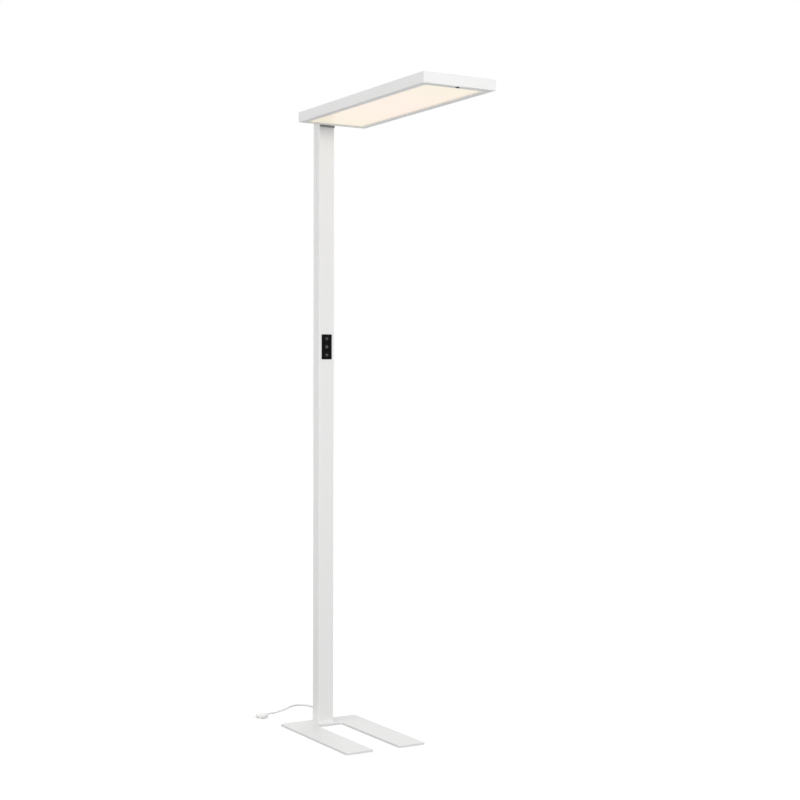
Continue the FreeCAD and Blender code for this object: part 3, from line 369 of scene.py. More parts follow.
# smooth extruded sheath with the faint ripple of the cores inside and a little dust
sheathLook = {"ripple": 0.004, "rippleShare": 0.4, "dust": 0.0008, "dustShare": 0.2,
              "dusty": 0.95, "roughness": 0.38, "dustyRoughness": 0.40, "dustShift": 0.16,
              "depth": 0.0001, "strength": 0.5}


def cordSheath(name, colour):
    look = sheathLook
    material, graph, shader = newMaterial(name, colour, look["roughness"])
    ripple = graph.noise(look["ripple"], 2.0)
    dust = graph.noise(look["dust"], 3.0)
    dusty = (ripple * look["rippleShare"] + dust * look["dustShare"]).clamped()
    feed(shader, Base_Color=graph.mix(dusty, opaque(colour), shade(colour, look["dusty"])),
         Roughness=(dust - 0.5) * look["dustShift"] + look["dustyRoughness"],
         Normal=graph.bump(ripple, look["depth"], look["strength"]))
    return material


# mains cord: one spline from the gland through the hank to the plug
cordSizes = {
    "diameter": 0.006,
    "angle": 27.56,         # degrees from -X to the hank's line
    "pitch": 0.00665,       # between turns that lie side by side or on each other
    "inner": 0.0163,        # half the width of the narrowest loop
    "run": 0.088,
    "waist": 0.005,         # how far the tie draws each run in
    "waistHold": 0.014,     # half the length over which it does
    "start": 0.098,
    "tie": 0.0008,
    "slack": 0.0003,
    "turnPoints": 6,        # in each half turn
    "splineSteps": 5,       # between two points of the route
    "bevelSteps": 4,        # which gives 12 sides round the section
    "columnRear": -0.02125,
    "glandHeight": 0.034,
    "glandLength": 0.022,
    "glandRun": 0.012,      # straight on from the gland
    "leaveRun": 0.017,      # straight on from the hank
    "plugRun": 0.014,       # straight into the plug
}
# from the hank's first point back towards the gland: along, across and up
cordLeadIn = ((-0.0314, -0.0009, 0.0068), (-0.0142, 0.0, 0.0))
# places on the floor between the hank and the plug: along and across the hank's line
cordOnFloor = (
    (0.2264, -0.0288), (0.2418, -0.0353), (0.2566, -0.0435), (0.2696, -0.0540), (0.2762, -0.0694),
    (0.2750, -0.0865), (0.2658, -0.1010), (0.2488, -0.1105), (0.2315, -0.1180), (0.2115, -0.1270),
    (0.1915, -0.1380), (0.1715, -0.1510), (0.1525, -0.1645))
lineAngle = math.radians(cordSizes["angle"])
alongWay = Vector((-math.cos(lineAngle), math.sin(lineAngle), 0))
acrossWay = Vector((math.sin(lineAngle), math.cos(lineAngle), 0))
upWay = Vector((0, 0, 1))
offFloor = 0.00002      # least height of a piece's corners above the floor


def floorAt(along, across, height):
    return alongWay * along + acrossWay * across + upWay * height


plugSizes = {
    "length": 0.034, "width": 0.035, "height": 0.0137,
    "sleeveLength": 0.014, "sleeveTip": 0.008, "sleeveRoot": 0.010,
}
plugTip = floorAt(0.122, -0.181, plugSizes["height"] / 2)
plugWay = (alongWay * -0.866 + acrossWay * -0.5).normalized()
plugSide = upWay.cross(plugWay)


def plugAt(forward, sideways, up):
    return plugTip + plugWay * forward + plugSide * sideways + upWay * up


# the hank's runs from the top layer down, each as its side, half width and its two end heights,
# and how far the hank's middle lies off its line
def hankRuns():
    c = cordSizes
    widths = [c["inner"] + c["pitch"] * i / 2 for i in range(5)]
    levels = [c["tie"] + c["slack"] + c["diameter"] / 2 + c["pitch"] * i for i in range(4)]
    runs = []
    for level, order in ((3, (3, 2, 1, 0)), (2, (1, 2, 3, 4)), (1, (3, 2, 1, 0)), (0, (1, 2, 3))):
        for turn, k in enumerate(order):
            ending = levels[level - 1] if turn == 3 else levels[level]
            runs.append((-1 if turn % 2 == 0 else 1, widths[k], levels[level], ending))
    return runs, (widths[3] - widths[4]) / 2


def hankPoints():
    c = cordSizes
    runs, shift = hankRuns()
    near, far = c["start"], c["start"] + c["run"]
    middle = (near + far) / 2
    step = math.pi / 2 / c["turnPoints"]
    points = []
    before = runs[0][1]
    for i, (side, width, low, high) in enumerate(runs):
        ahead = 1 if side < 0 else -1
        first, last = (near, far) if ahead > 0 else (far, near)
        following = runs[i + 1][1] if i + 1 < len(runs) else width
        enter, turn = (before + width) / 2, (width + following) / 2
        waistHeight = (low + high) / 2
        points.append(floorAt(first + ahead * enter * math.tan(step), shift + side * width, low))
        for reach in (-c["waistHold"], c["waistHold"]):
            points.append(floorAt(middle + ahead * reach, shift + side * (width - c["waist"]),
                                  waistHeight))
        points.append(floorAt(last - ahead * turn * math.tan(step), shift + side * width, high))
        if i + 1 < len(runs):
            centre = shift + side * (width - following) / 2
            for k in range(c["turnPoints"]):
                angle = step * (2 * k + 1 - c["turnPoints"])
                reach = turn / math.cos(step)
                points.append(floorAt(last + ahead * reach * math.cos(angle),
                                      centre - side * reach * math.sin(angle), high))
        before = width
    return points


def cordRoute():
    c = cordSizes
    runs, shift = hankRuns()
    glandTip = Vector((c["columnRear"] - c["glandLength"], 0, c["glandHeight"]))
    entry = floorAt(c["start"] - c["diameter"], shift - runs[0][1], runs[0][2])
    route = [glandTip, glandTip - Vector((c["glandRun"], 0, 0))]
    route += [entry + floorAt(*offset) for offset in cordLeadIn]
    route += hankPoints()
    leaveAt = c["start"] + c["run"] + c["diameter"] + c["leaveRun"]
    route.append(floorAt(leaveAt, shift - runs[-1][1], runs[-1][3]))
    for k, (along, across) in enumerate(cordOnFloor):
        rise = c["slack"] if k == 0 else 0.0
        route.append(floorAt(along, across, c["diameter"] / 2 + rise))
    route += [plugTip - plugWay * c["plugRun"], plugTip]
    return route


def makeCord():
    data = bpy.data.curves.new("mainsCord", "CURVE")
    data.dimensions = "3D"
    data.bevel_depth = cordSizes["diameter"] / 2
    data.bevel_resolution = cordSizes["bevelSteps"]
    data.use_fill_caps = True
    spline = data.splines.new("NURBS")
    route = cordRoute()
    spline.points.add(len(route) - 1)
    for point, at in zip(spline.points, route):
        point.co = (*at, 1)
    spline.order_u = 3
    spline.use_endpoint_u = True
    spline.resolution_u = cordSizes["splineSteps"]
    spline.use_smooth = True
    data.materials.append(cordSheath("cord sheath", (0.95, 0.95, 0.94)))
    return addObject("mainsCord", data)


mainsCord = makeCord()
print("cord: route of", len(mainsCord.data.splines[0].points), "points")


# puts a mesh in the scene as a finished piece that rides on a body
def finished(name, mesh, material, body="stand", smooth=True):
    if material is not None:
        mesh.materials.clear()
        mesh.materials.append(material)
    if smooth:
        mesh.shade_smooth()
    made = addObject(name, mesh)
    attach(made, body)
    return made


# a row of faces between two closed rows of as many corners each
def joinRows(shell, lower, upper):
    for i in range(len(lower)):
        j = (i + 1) % len(lower)
        shell.faces.new((lower[i], lower[j], upper[j], upper[i]))


def meshOf(name, shell):
    mesh = bpy.data.meshes.new(name)
    shell.to_mesh(mesh)
    shell.free()
    return mesh


def outwardMesh(name, shell):
    bmesh.ops.recalc_face_normals(shell, faces=shell.faces)
    return meshOf(name, shell)


# skin over rings of as many points each, with a flat cap at both ends
def loft(name, rings):
    shell = bmesh.new()
    rows = [[shell.verts.new(point) for point in ring] for ring in rings]
    for lower, upper in zip(rows, rows[1:]):
        joinRows(shell, lower, upper)
    shell.faces.new(rows[0][::-1])
    shell.faces.new(rows[-1])
    return outwardMesh(name, shell)


# rings round an axis from pairs of distance and radius
def turnedRings(profile, start, axis, count=40):
    axis = axis.normalized()
    side = axis.orthogonal().normalized()
    other = axis.cross(side)
    rings = []
    for travel, radius in profile:
        rings.append([start + axis * travel + side * (radius * math.cos(2 * math.pi * i / count))
                      + other * (radius * math.sin(2 * math.pi * i / count)) for i in range(count)])
    return rings


# smooth all over, but for edges that turn by more than the given degrees
def sharpen(mesh, degrees=35):
    mesh.shade_smooth()
    shell = bmesh.new()
    shell.from_mesh(mesh)
    for edge in shell.edges:
        if len(edge.link_faces) == 2 and edge.calc_face_angle() > math.radians(degrees):
            edge.smooth = False
    shell.to_mesh(mesh)
    shell.free()


# geometry nodes: small helpers that build a tree with named inputs
def treeOf(name, inputs):
    tree = bpy.data.node_groups.new(name, "GeometryNodeTree")
    tree.interface.new_socket("Geometry", in_out="INPUT", socket_type="NodeSocketGeometry")
    tree.interface.new_socket("Geometry", in_out="OUTPUT", socket_type="NodeSocketGeometry")
    for label, kind in inputs:
        tree.interface.new_socket(label, in_out="INPUT", socket_type=kind)
    graph = Graph(tree)
    entry = tree.nodes.new("NodeGroupInput")
    return tree, graph, lambda label: Wire(graph, entry.outputs[label])


def endTree(graph, geometry, material):
    real = graph.node("GeometryNodeRealizeInstances", values={"Geometry": geometry})
    painted = graph.node("GeometryNodeSetMaterial", values={"Geometry": real, "Material": material})
    outlet = graph.tree.nodes.new("NodeGroupOutput")
    graph.tree.links.new(painted.socket, outlet.inputs[0])


def carriedPoints(graph):
    return Wire(graph, graph.tree.nodes["Group Input"].outputs["Geometry"])


# runs a tree on a mesh of loose points and returns the plain mesh that comes out
def growMesh(name, points, tree, values):
    seed = bpy.data.meshes.new(name + "Points")
    seed.from_pydata(points, [], [])
    carrier = addObject(name + "Carrier", seed)
    modifier = carrier.modifiers.new("grow", "NODES")
    modifier.node_group = tree
    for item in tree.interface.items_tree:
        if getattr(item, "in_out", "") == "INPUT" and item.name in values:
            modifier[item.identifier] = values[item.name]
    view = bpy.context.evaluated_depsgraph_get()
    mesh = bpy.data.meshes.new_from_object(carrier.evaluated_get(view))
    carrier.modifiers.clear()
    bpy.data.objects.remove(carrier)
    return mesh


# rings along +X that shrink from the first to the last
def ribTree():
    tree, graph, take = treeOf("strain relief ribs", [
        ("Count", "NodeSocketInt"), ("Step", "NodeSocketFloat"), ("First Radius", "NodeSocketFloat"),
        ("Shrink", "NodeSocketFloat"), ("Wire", "NodeSocketFloat"), ("Material", "NodeSocketMaterial")])
    step = graph.node("ShaderNodeCombineXYZ", values={"X": take("Step")})
    line = graph.node("GeometryNodeMeshLine", values={"Count": take("Count"), "Offset": step})
    ring = graph.node("GeometryNodeCurvePrimitiveCircle", values={"Resolution": 40, "Radius": 1.0},
                      output="Curve")
    turn = graph.node("FunctionNodeInputVector", {"vector": (0, math.pi / 2, 0)})
    index = graph.node("GeometryNodeInputIndex")
    size = take("First Radius") - index * take("Shrink")
    dots = graph.node("GeometryNodeInstanceOnPoints", values={
        "Points": line, "Instance": ring, "Rotation": turn,
        "Scale": graph.node("ShaderNodeCombineXYZ", values={"X": size, "Y": size, "Z": size})})
    loose = graph.node("GeometryNodeRealizeInstances", values={"Geometry": dots})
    section = graph.node("GeometryNodeCurvePrimitiveCircle",
                         values={"Resolution": 10, "Radius": take("Wire")}, output="Curve")
    tubes = graph.node("GeometryNodeCurveToMesh", values={"Curve": loose, "Profile Curve": section})
    endTree(graph, tubes, take("Material"))
    return tree


reliefSizes = {
    "collar": 0.0130, "collarDepth": 0.0030, "root": 0.0100, "tip": 0.0082, "bore": 0.0060,
    "ribs": 8, "ribStep": 0.0019, "ribsFrom": 0.0022, "firstRib": 0.0050, "ribWire": 0.00042,
}


def makeStrainRelief():
    sizes, c = reliefSizes, cordSizes
    white = moulded("gland plastic", (0.74, 0.74, 0.73), 0.42, 0.0006)
    start = Vector((c["columnRear"], 0, c["glandHeight"]))
    depth, collar = sizes["collarDepth"], sizes["collar"] / 2
    root, tip, length = sizes["root"] / 2, sizes["tip"] / 2, c["glandLength"]
    # travel and radius, with small fillets at the collar, the root and the tip
    profile = [(0, collar - 0.0002), (0.0003, collar), (depth - 0.0008, collar),
               (depth - 0.0003, collar - 0.0003), (depth, collar - 0.0009), (depth, root + 0.0006),
               (depth + 0.0006, root), (length - 0.0006, tip - 0.0002),
               (length - 0.0001, tip - 0.0006), (length, sizes["bore"] / 2)]
    core = loft("strainRelief", turnedRings(profile, start, Vector((-1, 0, 0))))
    sharpen(core)
    ribs = growMesh("reliefRibs", [(0, 0, 0)], ribTree(), {
        "Count": sizes["ribs"], "Step": sizes["ribStep"], "First Radius": sizes["firstRib"],
        "Shrink": (root - tip) / sizes["ribs"], "Wire": sizes["ribWire"], "Material": white})
    ribs.transform(Matrix.Translation(start - Vector((depth + sizes["ribsFrom"], 0, 0)))
                   @ Matrix.Rotation(math.pi, 4, "Z"))
    relief = finished("strainRelief", core, white, smooth=False)
    ribPiece = finished("reliefRibs", ribs, white)
    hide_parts("cable_gland")
    print("strain relief with", sizes["ribs"], "ribs")


# the strap round the hank: a closed band, and its tail lying on the top
tieSizes = {
    "width": 0.012, "corner": 0.0048, "edge": 0.00025, "cornerSteps": 8,
    "tail": 0.0304, "tailFrom": 0.0005, "tailThick": 0.0007, "tailSteps": 14,
    "tailGap": 0.00005, "tipLift": 0.0006, "tailMargin": 0.0006, "tipMargin": 0.0014,
}


def makeTie():
    sizes, c = tieSizes, cordSizes
    thick = c["tie"]
    runs, shift = hankRuns()
    middle = c["start"] + c["run"] / 2
    inside = c["inner"] + c["pitch"] * 1.5 - shift - c["waist"] + c["diameter"] / 2 + c["slack"]
    top = runs[0][2] + c["diameter"] / 2 + c["slack"]

    # the band's section across the hank, grown outwards from its inside
    def outline(grow):
        half, low, high = inside + grow, thick - grow, top + grow
        corner = sizes["corner"] + grow
        right, upper, lower = half - corner, high - corner, low + corner
        points = []
        for middleX, middleZ, begin in ((right, upper, 0), (-right, upper, 90),
                                        (-right, lower, 180), (right, lower, 270)):
            for k in range(sizes["cornerSteps"] + 1):
                angle = math.radians(begin + k * 90 / sizes["cornerSteps"])
                points.append((middleX + corner * math.cos(angle), middleZ + corner * math.sin(angle)))
        return points

    band = bmesh.new()
    wide = sizes["width"] / 2
    edge = sizes["edge"]
    rows = []
    for travel, grow in ((edge - wide, 0.0), (wide - edge, 0.0), (wide, edge), (wide, thick - edge),
                         (wide - edge, thick), (edge - wide, thick), (-wide, thick - edge),
                         (-wide, edge)):
        rows.append([band.verts.new(floorAt(middle + travel, across, max(height, offFloor)))
                     for across, height in outline(grow)])
    for first, second in zip(rows, rows[1:] + rows[:1]):
        joinRows(band, first, second)
    weave = wovenTie("tie weave", (0.74, 0.74, 0.73))
    tie = finished("hankTie", outwardMesh("hankTie", band), weave)
    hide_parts("hank_tie")

    start = inside + thick - sizes["corner"] - sizes["tailFrom"]
    height = top + thick + sizes["tailGap"]
    rings = []
    for k in range(sizes["tailSteps"] + 1):
        atTip = k == sizes["tailSteps"]
        across = start - sizes["tail"] * k / sizes["tailSteps"]
        level = height + (sizes["tipLift"] if atTip else 0.0)
        half = wide - (sizes["tipMargin"] if atTip else sizes["tailMargin"])
        ends = [(-half, 0), (half, 0), (half, sizes["tailThick"]), (-half, sizes["tailThick"])]
        rings.append([floorAt(middle + travel, across, level + lift) for travel, lift in ends])
    tail = finished("tieTail", loft("tieTail", rings), weave, smooth=False)
    print("tie round the hank")
    return tie, tail


# short rounded bars, one on each point, turned about the upright
def gripTree():
    tree, graph, take = treeOf("plug grip bars", [
        ("Length", "NodeSocketFloat"), ("Width", "NodeSocketFloat"), ("Turn", "NodeSocketFloat"),
        ("Material", "NodeSocketMaterial")])
    bar = graph.node("GeometryNodeMeshUVSphere", values={"Segments": 16, "Rings": 10, "Radius": 1.0})
    size = graph.node("ShaderNodeCombineXYZ", values={
        "X": take("Width"), "Y": take("Length"), "Z": take("Width") * 0.4})
    turn = graph.node("ShaderNodeCombineXYZ", values={"Z": take("Turn")})
    bars = graph.node("GeometryNodeInstanceOnPoints", values={
        "Points": carriedPoints(graph), "Instance": bar, "Rotation": turn, "Scale": size})
    endTree(graph, bars, take("Material"))
    return tree


# a section of the plug: round at power 2, and squarer the higher the power is
def plugRing(forward, halfWidth, halfHeight, power):
    ring = []
    count = 56
    for i in range(count):
        angle = 2 * math.pi * i / count
        c, s = math.cos(angle), math.sin(angle)
        ring.append(plugAt(forward, math.copysign(abs(c) ** (2 / power), c) * halfWidth,
                           math.copysign(abs(s) ** (2 / power), s) * halfHeight))
    return ring


gripSizes = {"bars": 6, "from": 0.0215, "step": 0.0026, "length": 0.0085, "width": 0.00065,
             "sunk": 0.0001, "stand": 0.00028}


def makePlug():
    p = plugSizes
    tip, root, high = p["sleeveTip"] / 2, p["sleeveRoot"] / 2, p["height"] / 2
    wide = p["width"] / 2
    # travel from the sleeve's tip, half width, half height and power
    stations = [
        (0.0000, 0.0031, 0.0031, 2.0), (0.0003, tip - 0.0002, tip - 0.0002, 2.0),
        (0.0012, tip, tip, 2.0), (0.0070, tip + 0.0005, tip + 0.0005, 2.0),
        (0.0120, root - 0.0002, root - 0.0002, 2.0), (0.0140, root + 0.0004, root + 0.0002, 2.1),
        (0.0150, root + 0.0014, root + 0.0010, 2.3), (0.0165, root + 0.0030, high - 0.0005, 2.8),
        (0.0190, 0.0106, high, 3.4), (0.0225, 0.0138, high, 4.0), (0.0260, 0.0163, high, 4.6),
        (0.0290, 0.0172, high, 5.0), (0.0340, wide, high, 5.4), (0.0400, wide, high, 5.8),
        (0.0455, 0.0174, high, 6.0), (0.0472, 0.0172, high - 0.0002, 6.0),
        (0.0479, 0.0168, high - 0.0006, 6.0), (0.0480, 0.0163, high - 0.0011, 6.0)]
    mesh = loft("plugShell", [plugRing(*station) for station in stations])
    sharpen(mesh, 50)
    white = moulded("plug plastic", (0.86, 0.86, 0.85), 0.36, 0.0006)
    shell = finished("plugShell", mesh, white, smooth=False)
    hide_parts("plug_body")
    g = gripSizes
    turn = math.atan2(plugWay.y, plugWay.x)
    rows = [(g["from"] + g["step"] * k, face) for k in range(g["bars"]) for face in (-1, 1)]
    points = [plugAt(forward, 0, face * (high - g["sunk"])) for forward, face in rows]
    bars = growMesh("plugGrip", points, gripTree(), {
        "Length": g["length"], "Width": g["width"], "Turn": turn, "Material": white})
    for vertex in bars.vertices:
        vertex.co.z = max(offFloor, min(2 * high + g["stand"], vertex.co.z))
    grip = finished("plugGrip", bars, white)
    print("plug with", len(points), "grip bars")
    return shell, grip


makeStrainRelief()
tie, tieTail = makeTie()
plugShell, plugGrip = makePlug()
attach(mainsCord, "stand")
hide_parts("cord_from_gland", "cord_hank", "cord_on_floor")


# symbols on the buttons, raised by a hair
symbolSizes = {
    "lift": 0.00008, "sunk": 0.00004, "taper": 0.985,
    "arrow": 0.0037, "stroke": 0.0012,
    "ring": 0.0033, "ringStroke": 0.0011, "ringGap": 34, "bar": 0.0036, "barFrom": 0.0006,
}


# thin raised shapes in the panel's plane, from outlines of (right, up) as seen from the front
def flatSymbol(name, outlines, centre):
    sizes = symbolSizes
    shell = bmesh.new()
    for outline in outlines:
        rows = []
        for forward, share in ((-sizes["sunk"], 1.0), (sizes["lift"], sizes["taper"])):
            rows.append([shell.verts.new(centre + Vector((forward, right * share, up)))
                         for right, up in outline])
        back, front = rows
        shell.faces.new(front)
        shell.faces.new(back[::-1])
        joinRows(shell, back, front)
    return outwardMesh(name, shell)


# a ring's stroke from one angle to another, in degrees
def arcBand(radius, width, begin, end):
    count = 30
    angles = [math.radians(begin + (end - begin) * k / count) for k in range(count + 1)]
    outer, inner = [
        [(math.cos(angle) * reach, math.sin(angle) * reach) for angle in angles]
        for reach in (radius + width / 2, radius - width / 2)]
    return outer + inner[::-1]


def makeSymbols():
    sizes = symbolSizes
    pale = moulded("symbol print", (0.20, 0.20, 0.205), 0.5, 0.0006, sheen=0.2)
    a, w = sizes["arrow"], sizes["stroke"]
    foot, peak = -a * 0.35, a * 0.65
    arrow = [(-a, foot), (0, peak), (a, foot), (a - w, foot - w * 0.75), (0, peak - w * 1.5),
             (w - a, foot - w * 0.75)]
    half, low, high = sizes["ringStroke"] / 2, sizes["barFrom"], sizes["barFrom"] + sizes["bar"]
    gap = sizes["ringGap"]
    power = [arcBand(sizes["ring"], sizes["ringStroke"], 90 + gap, 450 - gap),
             [(-half, low), (half, low), (half, high), (-half, high)]]
    shapes = {"up": [arrow], "power": power, "down": [[(x, -z) for x, z in arrow][::-1]]}
    for tag, outlines in shapes.items():
        low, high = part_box("button_" + tag)
        centre = Vector((high[0], (low[1] + high[1]) / 2, (low[2] + high[2]) / 2))
        symbol = finished(tag + "Symbol", flatSymbol(tag + "Symbol", outlines, centre), pale,
                          body="button_%s_body" % tag, smooth=False)
    print("symbols:", ", ".join(shapes))


makeSymbols()


# cover screws: countersunk heads with a hexagonal recess, set on four points
screwSizes = {"head": 0.0056, "recess": 0.0020, "depth": 0.0014, "shank": 0.0030, "reach": 0.004,
              "edge": 0.0001, "seed": 4}


# one head that points up, its top at the origin
def screwHead():
    s = screwSizes
    shell = bmesh.new()

    def ring(radius, height, hexagonal=False):
        made = []
        count = 36
        for i in range(count):
            angle = 2 * math.pi * i / count
            reach = radius
            if hexagonal:
                reach = radius / math.cos((angle + math.pi / 6) % (math.pi / 3) - math.pi / 6)
            made.append(shell.verts.new((reach * math.cos(angle), reach * math.sin(angle), height)))
        return made

    edge, outer, shank = s["edge"], s["head"] / 2, s["shank"] / 2
    recess, deep = s["recess"] / 2, s["depth"]
    rows = [ring(edge, -deep - 3 * edge), ring(recess, -deep, True), ring(recess, -edge, True),
            ring(recess + edge, 0, True), ring(outer - 2 * edge, 0), ring(outer, -edge),
            ring(shank, shank - outer), ring(shank, -s["reach"])]
    for lower, upper in zip(rows, rows[1:]):
        joinRows(shell, lower, upper)
    shell.faces.new(rows[0])
    shell.faces.new(rows[-1])
    mesh = outwardMesh("screwHead", shell)
    sharpen(mesh, 40)
    return mesh


# the head on every point, each turned its own way
def screwTree(head):
    tree, graph, take = treeOf("cover screws", [
        ("Seed", "NodeSocketInt"), ("Material", "NodeSocketMaterial")])
    info = graph.node("GeometryNodeObjectInfo", {"transform_space": "ORIGINAL"},
                      {"Object": head}, output="Geometry")
    chance = graph.node("FunctionNodeRandomValue", {"data_type": "FLOAT"},
                        {2: 0.0, 3: 2 * math.pi, "Seed": take("Seed")}, output=1)
    turn = graph.node("ShaderNodeCombineXYZ", values={"Z": chance})
    heads = graph.node("GeometryNodeInstanceOnPoints", values={
        "Points": carriedPoints(graph), "Instance": info, "Rotation": turn})
    endTree(graph, heads, take("Material"))
    return tree


def makeCoverScrews():
    names = ["cover_screw_%s_%s" % (end, side)
             for end in ("near", "far") for side in ("left", "right")]
    points = []
    for name in names:
        low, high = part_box(name)
        points.append(((low[0] + high[0]) / 2, (low[1] + high[1]) / 2, high[2]))
    white = powderCoat("screw paint", (0.72, 0.72, 0.71), 0.35)
    head = addObject("screwPattern", screwHead())
    mesh = growMesh("coverScrews", points, screwTree(head), {
        "Seed": screwSizes["seed"], "Material": white})
    bpy.data.objects.remove(head)
    piece = finished("coverScrews", mesh, None, smooth=False)
    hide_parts(*names)
    print("cover screws:", len(points))


makeCoverScrews()


# the presence sensor's dome: stepped rings below the lip, with a narrow collar round them
lensSizes = {"rings": 5, "step": 0.00022, "flat": 0.0012, "collar": 0.0006, "bulge": 0.92,
             "fillet": 0.0003, "rim": 0.0002, "inside": 0.0020}


def makeLens():
    sizes = lensSizes
    low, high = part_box("sensor_lens")
    centre = Vector(((low[0] + high[0]) / 2, (low[1] + high[1]) / 2, 0))
    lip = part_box("end_rail_sensor")[0][2]
    radius, stand = (high[0] - low[0]) / 2, lip - low[2]
    profile = [(0.0, sizes["flat"])]
    pitch = (radius - sizes["collar"] - sizes["flat"]) / sizes["rings"]
    for k in range(sizes["rings"]):
        outward = sizes["flat"] + pitch * (k + 1)
        fall = stand * (1 - math.sqrt(1 - (outward / radius) ** 2)) * sizes["bulge"]
        profile.append((max(0.0, fall - sizes["step"]), outward - sizes["step"]))
        profile.append((fall, outward))
    profile += [(stand - sizes["fillet"], radius - sizes["rim"]), (stand, radius),
                (stand + sizes["inside"], radius)]
    rings = turnedRings(profile, centre + upWay * low[2], upWay, 48)
    dark = moulded("sensor lens", (0.006, 0.006, 0.007), 0.32, 0.0016, 0.00002, sheen=0.12)
    dome = loft("lensDome", rings)
    sharpen(dome, 25)
    lens = finished("lensDome", dome, dark, smooth=False)
    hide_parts("sensor_lens")
    print("sensor lens with", sizes["rings"], "rings")


makeLens()


# finishes of the model's own pieces, by the record's material slots
finishes = {
    "white_paint": lambda: powderCoat("white powder coat", (0.80, 0.80, 0.795)),
    "white_plastic": lambda: moulded("white moulding", (0.78, 0.78, 0.77), 0.45),
    # painted shade: the bracket's dark grey stands in for the shade in the gap between the head's end
    # and the column's top
    "dark_bracket": lambda: powderCoat("bracket painted shade", (0.33, 0.33, 0.335), 0.5),
    "pad_rubber": lambda: moulded("pad rubber", (0.03, 0.03, 0.03), 0.75, 0.0009, 0.00006),
    "steel": lambda: metal("bare steel", (0.56, 0.56, 0.57), 0.34, (0.0003, 0.004, 0.0003)),
    "zinc_screw": lambda: metal("zinc plate", (0.62, 0.62, 0.63), 0.3),
    "white_screw": lambda: powderCoat("white screw paint", (0.74, 0.74, 0.73), 0.35),
    "dark_screw": lambda: metal("black screw", (0.05, 0.05, 0.052), 0.4),
    "tray_metal": lambda: powderCoat("tray paint", (0.82, 0.82, 0.82), 0.5),
    "diffuser_plastic": lambda: opalDiffuser("opal diffuser"),
    "led_board": lambda: circuitBoard("light board", (0.80, 0.80, 0.78), (0.66, 0.64, 0.58)),
    "terminal_plastic": lambda: moulded("terminal plastic", (0.70, 0.69, 0.64), 0.5),
    "driver_case": lambda: moulded("driver case", (0.78, 0.78, 0.78), 0.5),
    "sensor_case_plastic": lambda: moulded("sensor case", (0.6, 0.6, 0.6), 0.5),
    "sensor_lens_plastic": lambda: moulded("lens solid", (0.006, 0.006, 0.007), 0.4, sheen=0.1),
    "panel_plastic": lambda: moulded("panel black", (0.0025, 0.0025, 0.003), 0.5, 0.0004, 0.00001,
                                     sheen=0.06),
    "inner_case_plastic": lambda: moulded("inner case", (0.01, 0.01, 0.01), 0.5),
    "control_board": lambda: circuitBoard("control board", (0.01, 0.10, 0.035), (0.02, 0.20, 0.07)),
    "switch_plastic": lambda: moulded("switch plastic", (0.02, 0.02, 0.02), 0.4),
    "button_plastic": lambda: moulded("button rubber", (0.02, 0.02, 0.021), 0.6, 0.0004, 0.00001,
                                      sheen=0.12),
    "gland_plastic": lambda: moulded("gland sleeve", (0.74, 0.74, 0.73), 0.42),
    "lead_plastic": lambda: cordSheath("lead sheath", (0.76, 0.76, 0.75)),
    "cord_plastic": lambda: cordSheath("cord solid", (0.78, 0.78, 0.77)),
    "tie_plastic": lambda: wovenTie("tie solid", (0.74, 0.74, 0.73)),
    "plug_plastic": lambda: moulded("plug solid", (0.74, 0.74, 0.73), 0.36),
    "pin_metal": lambda: pinMetal("pin metal"),
}


def dressNodes():
    made = {}
    for entry in frame["record"]["subparts"]:
        slotName = entry["material_slot"]
        if slotName not in made:
            made[slotName] = finishes[slotName]()
        for materialSlot in frame["nodes"][entry["node"]].material_slots:
            materialSlot.material = made[slotName]


dressNodes()


# floor, world and lamps
stageSet = {
    "radius": 30.0,
    "drop": 0.0003,         # the floor's face below the part's
    "paintedShadowNear": 0.12,      # what the floor gives back near the part
    # painted shadow: the floor gives back less light near the part, which darkens the part's lower
    # faces
    "farFloor": 0.50,       # and what it gives back further off than spread
    "spread": 0.9,
    "middle": 0.2,          # x of the place the distances are measured from
    "shadowShare": 0.16,    # how much of the floor that is seen takes shadows
    "fadeFrom": 1.4,
    "fadeTo": 4.0,
    "bright": 1.05,         # of the floor and the background that are seen
    "white": 1.0,
    "horizon": 0.47,        # of the sky that gives light
    "zenith": 0.81,
}


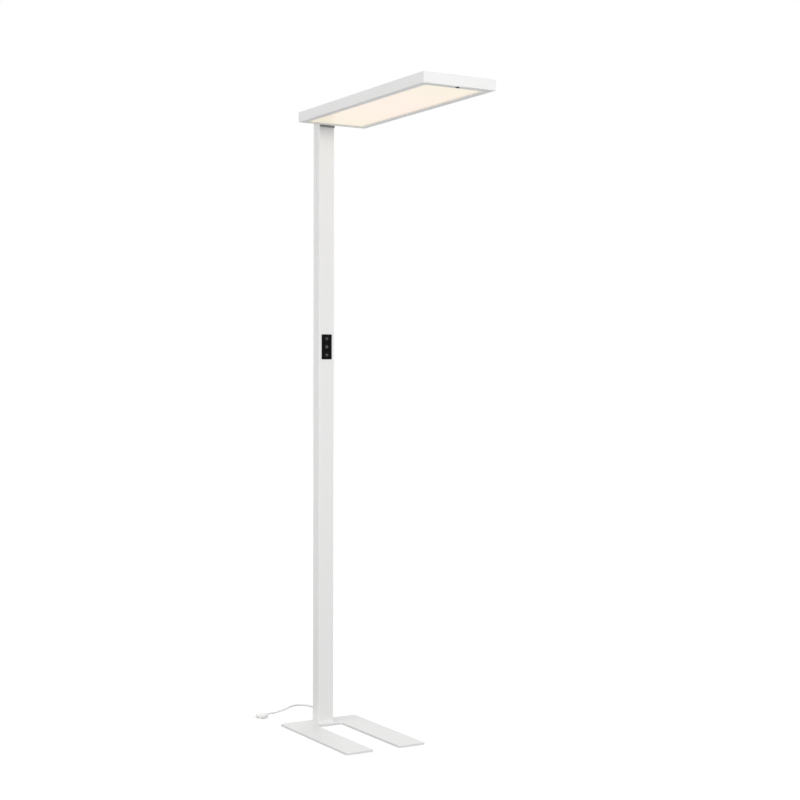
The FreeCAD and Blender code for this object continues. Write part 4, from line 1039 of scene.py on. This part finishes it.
def makeFloor():
    s = stageSet
    shell = bmesh.new()
    bmesh.ops.create_circle(shell, cap_ends=True, radius=s["radius"], segments=96)
    mesh = meshOf("floor", shell)
    floor = addObject("floor", mesh)
    floor.location.z = -s["drop"]
    material = bpy.data.materials.new("floor")
    material.use_nodes = True
    tree = material.node_tree
    tree.nodes.clear()
    graph = Graph(tree)
    x, y, z = graph.axes()
    ahead = x - s["middle"]
    reach = (ahead * ahead + y * y) ** 0.5
    away = (reach - s["fadeFrom"]) / (s["fadeTo"] - s["fadeFrom"])
    shown = graph.shownRays()
    share = 1.0 - s["shadowShare"] * (1.0 - away.clamped())
    # painted shadow: the colour of the light the floor gives back is darker near the part
    paintedShadowBounce = graph.mix((reach / s["spread"]).clamped(), opaque([s["paintedShadowNear"]] * 3),
                       opaque([s["farFloor"]] * 3))
    tone = graph.mix(shown, paintedShadowBounce, (1, 1, 1, 1))
    plain = graph.node("ShaderNodeBsdfDiffuse", values={"Color": tone})
    bright = graph.node("ShaderNodeEmission", values={"Color": (1, 1, 1, 1), "Strength": s["bright"]})
    both = graph.node("ShaderNodeMixShader", values={0: shown * share, 1: plain, 2: bright})
    outlet = tree.nodes.new("ShaderNodeOutputMaterial")
    tree.links.new(both.socket, outlet.inputs["Surface"])
    mesh.materials.append(material)


def makeWorld():
    s = stageSet
    world = bpy.data.worlds.new("studio")
    world.use_nodes = True
    scene.world = world
    tree = world.node_tree
    tree.nodes.clear()
    graph = Graph(tree)
    shown = graph.shownRays()
    aloft = graph.node("ShaderNodeSeparateXYZ", values=(graph.place("Generated"),), output="Z")
    light = aloft.clamped() * (s["zenith"] - s["horizon"]) + s["horizon"]
    strength = shown * (s["white"] - light) + light
    sky = graph.node("ShaderNodeBackground", values={"Color": (1, 1, 1, 1), "Strength": strength})
    outlet = tree.nodes.new("ShaderNodeOutputWorld")
    tree.links.new(sky.socket, outlet.inputs["Surface"])


lamps = {
    "endLight": {"place": (5.6, -0.9, 2.05), "aim": (0.3, 0.0, 1.1), "size": 2.0, "height": 0.6,
                 "power": 138.0},
    "sideLight": {"place": (0.3, -3.0, 1.4), "aim": (0.2, 0.0, 1.0), "size": 2.0, "power": 29.0},
    "rearLight": {"place": (-2.6, 2.6, 1.6), "aim": (0.0, 0.0, 0.9), "size": 1.8, "power": 30.0,
                  "mirrored": False},
}


def makeLamps():
    for name, lamp in lamps.items():
        data = bpy.data.lights.new(name, "AREA")
        data.shape = "RECTANGLE"
        data.size = lamp["size"]
        data.size_y = lamp.get("height", lamp["size"])
        data.energy = lamp["power"]
        light = addObject(name, data)
        light.location = lamp["place"]
        light.visible_glossy = lamp.get("mirrored", True)
        look = Vector(lamp["aim"]) - Vector(lamp["place"])
        light.rotation_mode = "QUATERNION"
        light.rotation_quaternion = look.to_track_quat("-Z", "Y")


makeFloor()
makeWorld()
makeLamps()
print("stage and", len(lamps), "lamps")
